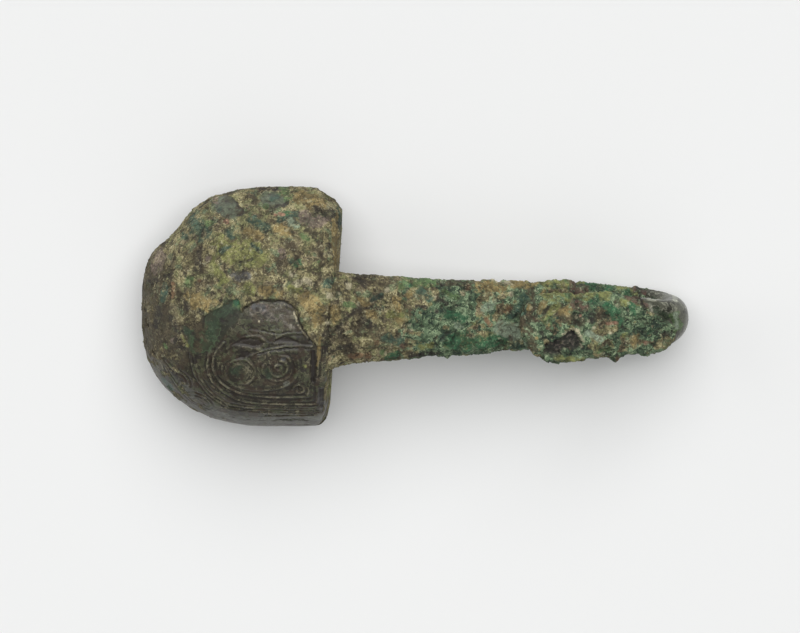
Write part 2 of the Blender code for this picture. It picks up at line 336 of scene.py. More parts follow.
@dataclass
class Dome:
    """The domed body and the hollow behind it."""

    tail_x: float
    rim_z: float
    length: float = 25.7 * MM
    half: float = 16.0 * MM
    height: float = 10.8 * MM
    widest_share: float = 0.70
    tail_power: tuple[float, float] = (2.47, 2.20)
    shoulder_round: tuple[float, float] = (1.6 * MM, 3.2 * MM)
    shoulder_edge: float = 0.7 * MM
    shoulder_skew: float = 0.8 * MM
    shoulder_lean: float = 0.8 * MM
    arch_power: float = 2.4
    arch_fall: float = 0.62
    crown_power: float = 2.2
    crown_fall: float = 0.60
    worn_depth: float = 1.8 * MM
    worn_at: float = 4.0 * MM
    worn_reach: float = 2.4 * MM
    wall: float = 2.4 * MM
    shoulder_wall: float = 3.0 * MM
    tail_flat: float = 0.1 * MM

    def rounded_off(self, past: Points, radius: float) -> Points:
        """How far a rounded corner has fallen back, past the place where it starts."""
        if radius <= 0.0:
            return np.zeros_like(past)
        return radius - np.sqrt(radius**2 - np.clip(past, 0.0, radius) ** 2)

    def swell(self, x: Points, power: float, inset: float) -> Points:
        """Growth from 0 at the tail to 1 at the widest place."""
        widest = self.widest_share * self.length
        return 1.0 - np.clip((widest - x) / (widest - inset), 0.0, 1.0) ** power

    def half_width(self, x: Points, side: int, inset: float = 0.0) -> Points:
        """Half width on the +Y side (1) or the -Y side (0), at x from the tail."""
        power = self.tail_power[side]
        wide = (self.half - inset) * self.swell(x, power, inset) ** (1.0 / power)
        corner = self.shoulder_round[side] - inset
        wide = wide - self.rounded_off(x - (self.length - inset - corner), corner)
        if side:
            wide = wide - self.worn_depth * np.exp(-(((x - self.worn_at) / self.worn_reach) ** 2))
        return wide

    def crown(self, x: Points, inset: float = 0.0) -> Points:
        """Height of the middle line over the rim, at x from the tail."""
        high = (self.height - inset) * self.swell(x, self.crown_power, inset) ** self.crown_fall
        past = x - (self.length - self.shoulder_edge)
        return high - self.rounded_off(past, self.shoulder_edge)

    def place(self, x: Points, share: Points, inset: float = 0.0) -> Points:
        """Points of the dome at x from the tail, at shares of the half width.

        Args:
            x: Distances from the tail.
            share: Shares from -1 to 1, as many.
            inset: How far inside the outer surface.

        Returns:
            One point for each.
        """
        wide = np.where(share >= 0, self.half_width(x, 1, inset), self.half_width(x, 0, inset))
        y = share * wide
        arch = np.clip(1.0 - np.abs(share) ** self.arch_power, 0.0, 1.0) ** self.arch_fall
        rise = self.crown(x, inset) * arch
        skew = self.shoulder_skew * (1.0 - y / self.half) / 2.0
        lean = self.shoulder_lean * (1.0 - rise / self.height)
        along = x + (lean - skew) * x / self.length
        return np.stack([self.tail_x + along, y, self.rim_z + rise], axis=-1)

    def over(self, plan: Points) -> tuple[Points, Points]:
        """Place along the dome, and height of the dome, over places of the plan.

        Args:
            plan: Places as x and y, one row each.

        Returns:
            The distance from the tail, and the height of the dome there.
        """
        x = plan[:, 0] - self.tail_x
        for _ in range(3):
            at = np.clip(x, self.tail_flat, self.length)
            wide = np.where(plan[:, 1] >= 0, self.half_width(at, 1), self.half_width(at, 0))
            share = np.clip(plan[:, 1] / np.maximum(wide, 1e-6), -1.0, 1.0)
            x = x + (plan[:, 0] - self.place(at, share)[:, 0]) * (np.abs(x - at) < 1e-9)
        at = np.clip(x, self.tail_flat, self.length)
        return at, self.place(at, share)[:, 2]

    def stations(self, first: float, last: float, inset: float, count: int) -> Points:
        """Places of the sections, at even steps along the crown."""
        x = first + (last - first) * (1.0 - np.cos(np.linspace(0.0, math.pi, 4000))) / 2.0
        return evenly_along(np.stack([x, self.crown(x, inset)], axis=1), count)[:, 0]

    def rings(self, xs: Points, sides: tuple[int, int], inset: float) -> Points:
        """Sections of the dome, with points at even steps along each arch.

        Args:
            xs: Places of the sections from the tail.
            sides: How many steps on the -Y and on the +Y side.
            inset: How far inside the outer surface.

        Returns:
            Array of rings, points and coordinates.
        """
        fine = np.sin(np.linspace(-math.pi / 2, math.pi / 2, 601))
        rings = []
        for x in xs:
            arch = self.place(np.full(len(fine), x), fine, inset)
            right = evenly_along(arch[:301], sides[0] + 1)
            left = evenly_along(arch[300:], sides[1] + 1)
            rings.append(np.vstack([right, left[1:]]))
        return np.array(rings)

    def shell(self, stations: int, sides: tuple[int, int], wall_rings: int) -> Thing:
        """The outside of the body, closed along the rim and over the shoulder."""
        xs = self.stations(self.tail_flat, self.length, 0.0, stations)
        rings = self.rings(xs, sides, 0.0)
        centre = rings[-1].mean(axis=0)
        centre[2] = self.rim_z + self.height * 0.45
        inner = [centre + (rings[-1] - centre) * s for s in np.linspace(1.0, 0.06, wall_rings)[1:]]
        return tube_of_rings("casting", np.concatenate([rings, np.array(inner)]))

    def hollow(self, stations: int, sides: tuple[int, int], past: float) -> Thing:
        """The solid that the hollow back is cut with."""
        first, last = self.wall + self.tail_flat, self.length - self.shoulder_wall
        xs = self.stations(first, last, self.wall, stations)
        rings = self.rings(xs, sides, self.wall)
        below = rings[:, [-1, 0]] - np.array([0.0, 0.0, past])
        return tube_of_rings("hollow", np.concatenate([rings, below], axis=1))


@dataclass
class Hook:
    """The neck, the bend and the head of the hook."""

    tip_x: float
    root_x: float
    crown_z: float
    middle_y: float
    neck_root_drop: float = 3.6 * MM
    neck_root_slope: float = 5.0
    neck_width_root: float = 11.9 * MM
    neck_width_end: float = 6.8 * MM
    neck_thick_root: float = 6.4 * MM
    neck_thinning: float = 1.35
    neck_reach: float = 13.0 * MM
    neck_flare: float = 1.4 * MM
    flare_reach: float = 1.4 * MM
    buried: float = 1.6 * MM
    bend_radius: float = 4.4 * MM
    bend_thickness: float = 3.9 * MM
    bend_narrowing: float = 2.0 * MM
    bend_roundness: float = 1.5
    bend_sway: float = 0.5 * MM
    bend_start: float = -102.0
    bend_end: float = 74.0
    head_reach_back: float = 21.8 * MM
    head_lift: float = 3.8 * MM
    head_droop: float = 0.5 * MM
    head_width_start: float = 7.8 * MM
    head_width: float = 8.8 * MM
    head_spread: float = 2.2
    head_thickness: float = 3.3 * MM
    snout_length: float = 3.8 * MM
    snout_thinning: float = 0.55
    snout_power: float = 2.3
    snout_bluntness: float = 0.12
    front_power: float = 2.3
    back_power: float = 3.0
    tip_power: float = 2.1

    def on_bend(self, degrees: float) -> tuple[Points, Points]:
        """Point of the bend's middle line in x and z, and its heading."""
        a = math.radians(degrees)
        half = self.bend_thickness / 2
        centre = np.array([self.tip_x - half - self.bend_radius, half + self.bend_radius])
        place = centre + self.bend_radius * np.array([math.cos(a), math.sin(a)])
        return place, np.array([-math.sin(a), math.cos(a)])

    def neck_section(self, t: float) -> Section:
        """Middle, sway, width, thickness and squareness of the neck, from root to bend."""
        root = np.array([self.root_x - self.buried, self.crown_z - self.neck_root_drop])
        down = math.radians(self.neck_root_slope)
        heading = np.array([math.cos(down), -math.sin(down)])
        end, end_heading = self.on_bend(self.bend_start)
        s, reach = 1.0 - t, self.neck_reach
        place = root * s**3 + (root + heading * reach) * (3 * s * s * t)
        place = place + (end - end_heading * reach) * (3 * s * t * t) + end * t**3
        past = max(0.0, place[0] - self.root_x)
        width = self.neck_width_root + (self.neck_width_end - self.neck_width_root) * t
        width += self.neck_flare * math.exp(-past / self.flare_reach)
        thin = min(1.0, t * self.neck_thinning)
        thick = self.neck_thick_root + (self.bend_thickness - self.neck_thick_root) * thin
        return place, 0.0, width, thick, self.back_power

    def bend_section(self, t: float) -> Section:
        """The same of the bend, which narrows to a rounded tip."""
        degrees = self.bend_start + (self.bend_end - self.bend_start) * t
        place, _ = self.on_bend(degrees)
        ahead = max(0.0, math.cos(math.radians(degrees))) ** self.bend_roundness
        width = self.neck_width_end + (self.head_width_start - self.neck_width_end) * t
        width -= self.bend_narrowing * ahead
        thick = self.bend_thickness + (self.head_thickness - self.bend_thickness) * t * t
        power = self.back_power - (self.back_power - self.tip_power) * ahead
        return place, self.bend_sway * ahead, width, thick, power

    def head_section(self, t: float) -> Section:
        """The same of the head, from the bend to its rounded end."""
        start, heading = self.on_bend(self.bend_end)
        end = np.array([self.tip_x - self.head_reach_back, start[1] + self.head_lift])
        pull = float(np.linalg.norm(start - end)) / 3
        s = 1.0 - t
        place = start * s**3 + (start + heading * pull) * (3 * s * s * t)
        place = place + (end + np.array([pull, self.head_droop])) * (3 * s * t * t) + end * t**3
        grown = min(1.0, t * self.head_spread)
        spread = self.head_width - self.head_width_start
        width = self.head_width_start + spread * grown * grown * (3 - 2 * grown)
        into = max(0.0, 1.0 - (place[0] - end[0]) / self.snout_length)
        blunt = max(self.snout_bluntness, 1.0 - into**self.snout_power)
        width *= blunt ** (1 / self.snout_power)
        thick = self.head_thickness * (1.0 - (1.0 - self.snout_thinning) * into**2)
        return place, 0.0, width, thick, self.back_power

    def mesh(self, steps: tuple[int, int, int], sides: int) -> Thing:
        """The neck, bend and head as one swept solid.

        Args:
            steps: How many sections the neck, the bend and the head have.
            sides: How many points a section has.

        Returns:
            The closed solid.
        """
        cuts = [self.neck_section(i / steps[0]) for i in range(steps[0])]
        cuts += [self.bend_section(i / steps[1]) for i in range(steps[1])]
        for i in range(steps[2] + 1):
            cuts.append(self.head_section(math.sin(math.pi / 2 * i / steps[2])))
        rings = []
        angle = 2 * math.pi * (np.arange(sides) + 0.5) / sides
        for i, (place, sway, width, thick, power) in enumerate(cuts):
            heading = cuts[min(len(cuts) - 1, i + 1)][0] - cuts[max(0, i - 1)][0]
            heading = heading / np.linalg.norm(heading)
            squareness = np.where(np.sin(angle) > 0, self.front_power, power)
            cos, sin = np.cos(angle), np.sin(angle)
            across = np.sign(cos) * np.abs(cos) ** (2 / squareness) * width / 2
            out = np.sign(sin) * np.abs(sin) ** (2 / squareness) * thick / 2
            x = place[0] - heading[1] * out
            z = place[1] + heading[0] * out
            rings.append(np.stack([x, self.middle_y + sway + across, z], axis=1))
        rings = np.array([evenly_along(np.vstack([r, r[:1]]), sides + 1)[:-1] for r in rings])
        ends = [rings[-1].mean(axis=0) + (rings[-1] - rings[-1].mean(axis=0)) * s for s in (0.8, 0.5)]
        return tube_of_rings("hook", np.concatenate([rings, np.array(ends)]))


@dataclass
class Button:
    """The round button and its stem, which hold the strap."""

    centre: tuple[float, float]
    top_z: float
    radius: float = 7.0 * MM
    thickness: float = 2.0 * MM
    edge: float = 0.5 * MM
    stem_radius: float = 2.6 * MM
    stem_flare: float = 0.6 * MM
    sides: int = 96
    steps: int = 70

    def mesh(self) -> Thing:
        """The button, turned about an upright axis."""
        r, t, e = self.radius, self.thickness, self.edge
        corners = np.array([
            (0.0, self.top_z),
            (self.stem_radius, self.top_z),
            (self.stem_radius, t + self.stem_flare),
            (self.stem_radius + self.stem_flare, t),
            (r - e, t),
            (r, t - e),
            (r, e),
            (r - e, 0.0),
            (0.0, 0.0),
        ])
        profile = evenly_along(corners, self.steps)[1:-1]
        angle = 2 * math.pi * np.arange(self.sides) / self.sides
        rings = []
        for out, z in profile:
            x = self.centre[0] + out * np.cos(angle)
            y = self.centre[1] + out * np.sin(angle)
            rings.append(np.stack([x, y, np.full(self.sides, z)], axis=1))
        return tube_of_rings("button", np.array(rings))


# Ornament


def smooth_line(corners: Points, count: int) -> Points:
    """A curve that passes through corners, at even steps.

    Args:
        corners: Corners of the line, one row each.
        count: How many places.

    Returns:
        The places, one row each.
    """
    first, last = 2 * corners[0] - corners[1], 2 * corners[-1] - corners[-2]
    p = np.vstack([first, corners, last])
    t = np.linspace(0.0, 1.0, 12, endpoint=False)[:, None]
    curve = []
    for a, b, c, d in zip(p, p[1:], p[2:], p[3:]):
        cubic = (3 * b - a - 3 * c + d) * t**3 + (2 * a - 5 * b + 4 * c - d) * t**2
        curve.append(b + 0.5 * ((c - a) * t + cubic))
    return evenly_along(np.vstack(curve + [corners[-1:]]), count)


def beside(line: Points, gap: float) -> Points:
    """The line that runs beside another in plan, to its left."""
    along = np.gradient(line, axis=0)
    along /= np.linalg.norm(along, axis=1)[:, None]
    return line + gap * np.stack([-along[:, 1], along[:, 0]], axis=1)


@dataclass
class Ornament:
    """Raised threads of the mask on the dome, by their places on the plan in millimetres."""

    dome: Dome
    step: float = 0.12
    double_gap: float = 0.42
    side_shares: tuple[float, ...] = (-0.905, -0.962)
    side_strength: float = -0.5
    usual_strength: float = 0.6
    side_from: float = 17.6
    side_short_of: float = 0.5
    side_steps: int = 60
    outer: Line = (
        (-29.1, -4.6), (-29.0, -5.9), (-28.7, -7.1), (-28.3, -8.4), (-27.6, -9.5), (-26.7, -10.7),
        (-25.6, -11.6), (-24.4, -12.4), (-22.6, -12.8), (-20.4, -12.9), (-17.4, -12.9), (-11.4, -12.9),
    )
    middle: Line = (
        (-26.2, -3.9), (-26.6, -5.2), (-26.8, -6.6), (-26.6, -7.8), (-26.0, -9.0), (-25.0, -10.0),
        (-23.8, -10.8), (-22.6, -11.4), (-20.9, -11.7), (-18.7, -11.8), (-15.4, -11.7), (-12.4, -11.6),
    )
    inner: Line = (
        (-24.6, -3.3), (-25.6, -4.6), (-26.0, -5.8), (-26.0, -6.9), (-25.6, -8.1), (-24.8, -9.1),
        (-23.5, -9.9), (-21.9, -10.5), (-20.0, -10.7), (-17.4, -10.7), (-13.5, -10.5),
    )
    under_eye: Line = (
        (-15.1, -4.7), (-14.8, -5.7), (-14.9, -6.8), (-15.3, -7.9), (-16.2, -8.8), (-17.6, -9.4),
        (-19.3, -9.7), (-21.1, -9.6), (-22.6, -9.4), (-23.9, -8.7), (-24.6, -7.8), (-24.8, -6.6),
    )
    eye_outer: Line = (
        (-19.5, -6.2), (-19.5, -6.9), (-19.1, -7.6), (-18.2, -8.2), (-17.0, -8.2), (-16.0, -7.5),
        (-15.6, -6.5), (-15.8, -5.5), (-16.4, -4.9), (-17.4, -4.7),
    )
    eye_inner: Line = (
        (-18.7, -6.4), (-18.5, -7.1), (-17.9, -7.6), (-17.1, -7.6), (-16.5, -7.1), (-16.3, -6.3),
        (-16.6, -5.6), (-17.3, -5.4),
    )
    eye_core: Line = (
        (-17.9, -6.3), (-17.7, -6.8), (-17.2, -6.8), (-17.0, -6.4), (-17.3, -6.1), (-17.8, -6.2),
    )
    cheek: Line = (
        (-24.3, -7.9), (-24.3, -6.7), (-23.4, -5.8), (-22.1, -5.5), (-21.0, -6.0), (-20.5, -7.0),
        (-20.8, -8.1), (-21.6, -8.8), (-22.6, -8.9),
    )
    cheek_inner: Line = (
        (-22.0, -8.1), (-23.1, -8.0), (-23.6, -7.2), (-23.2, -6.4), (-22.1, -6.2), (-21.4, -6.8),
        (-21.7, -7.5), (-22.4, -7.4),
    )
    curl: Line = (
        (-15.6, -9.4), (-15.2, -8.9), (-14.5, -8.8), (-14.0, -9.2), (-14.1, -9.7), (-14.6, -9.9),
        (-15.0, -9.6),
    )
    shoulder_strip: Line = ((-12.1, -3.2), (-12.25, -5.2), (-12.3, -7.4))
    short_strip: Line = ((-13.2, -8.1), (-13.45, -9.4), (-13.5, -10.5))
    corner_strip: Line = ((-12.4, -8.7), (-12.3, -10.0), (-12.3, -11.3))
    brow: Line = (
        (-24.3, -4.2), (-23.3, -3.2), (-22.1, -2.5), (-20.8, -2.2), (-19.7, -2.4), (-18.9, -3.1),
    )
    brow_under: Line = ((-23.3, -4.3), (-22.2, -3.8), (-21.1, -3.7), (-19.8, -4.0))
    lid: Line = (
        (-21.2, -4.9), (-19.7, -4.2), (-17.7, -3.7), (-15.7, -3.35), (-13.1, -3.3),
    )
    lid_under: Line = ((-20.4, -5.1), (-18.7, -4.5), (-16.6, -4.1), (-14.6, -4.0))
    wedge: Line = ((-18.6, -3.1), (-17.5, -2.2), (-16.4, -1.7), (-14.6, -1.6))
    panel: Line = ((-21.2, -1.5), (-19.4, -1.6), (-17.3, -1.3))
    scroll: Line = (
        (-32.3, -6.9), (-31.3, -8.0), (-30.1, -8.3), (-29.4, -9.0), (-29.2, -10.0), (-29.8, -10.8),
        (-30.5, -10.4), (-30.3, -9.7),
    )
    leaf: Line = (
        (-29.4, -11.2), (-28.4, -11.1), (-27.2, -11.5), (-26.3, -12.3), (-26.6, -13.1), (-27.3, -12.8),
    )
    stalk: Line = ((-32.4, -8.0), (-31.0, -10.0), (-29.9, -11.4), (-28.6, -12.6))
    far_fillet: Line = ((-24.0, -14.2), (-21.0, -14.5), (-17.0, -14.6))
    cut_top: Line = ((-19.7, -1.4), (-18.6, -1.6), (-17.3, -1.7), (-16.0, -1.4))
    cut_lid: Line = ((-20.2, -4.5), (-18.6, -4.05), (-16.6, -3.75), (-14.9, -3.6))
    cut_rim: Line = ((-19.5, -13.1), (-18.0, -13.0), (-16.5, -13.0))
    cut_rim_low: Line = ((-19.1, -13.8), (-16.0, -13.6), (-12.1, -13.4))
    cut_rim_last: Line = ((-18.8, -14.6), (-16.4, -14.3), (-14.1, -14.2))
    cut_left: Line = ((-24.0, -12.5), (-22.8, -12.7), (-21.5, -12.9))
    cut_right: Line = ((-15.8, -12.8), (-13.6, -12.6), (-11.6, -12.4))
    strengths: dict[str, float] = field(default_factory=lambda: {
        "outer": 0.8, "outer_double": 0.45, "middle": 1.0, "inner": 0.9, "under_eye": 0.45,
        "eye_outer": 0.75, "eye_inner": 0.65, "cheek": 0.5, "cheek_inner": 0.35, "shoulder_strip": 1.0,
        "short_strip": 0.55, "corner_strip": 0.7, "brow": 0.4, "brow_under": 0.3, "lid": 0.6,
        "lid_under": 0.25, "wedge": 0.35, "panel": 0.3, "stalk": 0.35, "far_fillet": -0.6,
        "cut_top": -1.0, "cut_lid": -1.0, "cut_rim": -1.0, "cut_rim_low": -1.0, "cut_rim_last": -1.0,
        "cut_left": -0.8, "cut_right": -0.8,
    })

    def plan_lines(self) -> dict[str, Points]:
        """Every thread on the -Y side, by its name."""
        lines = {}
        for name, value in vars(self).items():
            if isinstance(value, tuple) and isinstance(value[0], tuple):
                corners = np.array(value)
                length = np.linalg.norm(np.diff(corners, axis=0), axis=1).sum()
                lines[name] = smooth_line(corners, max(6, int(length / self.step)))
        lines["outer_double"] = beside(lines["outer"], self.double_gap)
        return lines

    def wire(self) -> Thing:
        """Edges along every thread of both halves of the mask, with how strong each is."""
        runs, strengths = [], []
        for name, line in self.plan_lines().items():
            for hand in (1.0, -1.0):
                plan = line * np.array([1.0, hand]) * MM
                runs.append(np.column_stack([plan, self.dome.over(plan)[1]]))
                strengths += [self.strengths.get(name, self.usual_strength)] * len(line)
        x = np.linspace(self.side_from * MM, self.dome.length - self.side_short_of * MM, self.side_steps)
        for share in self.side_shares:
            for hand in (1.0, -1.0):
                runs.append(self.dome.place(x, np.full(len(x), share * hand)))
                strengths += [self.side_strength] * len(x)
        verts, edges = [], []
        for run in runs:
            first = len(verts)
            verts += run.tolist()
            edges += [(first + i, first + i + 1) for i in range(len(run) - 1)]
        mesh = bpy.data.meshes.new("threads")
        mesh.from_pydata(verts, edges, [])
        write_mask(mesh, Mask.STRENGTH, np.array(strengths))
        return new_object("threads", mesh)


# Where each kind of corrosion lies


@dataclass(frozen=True)
class Lump:
    """A lump, or a pit where its height is negative, in millimetres."""

    x: float
    y: float
    z: float
    reach: float
    height: float


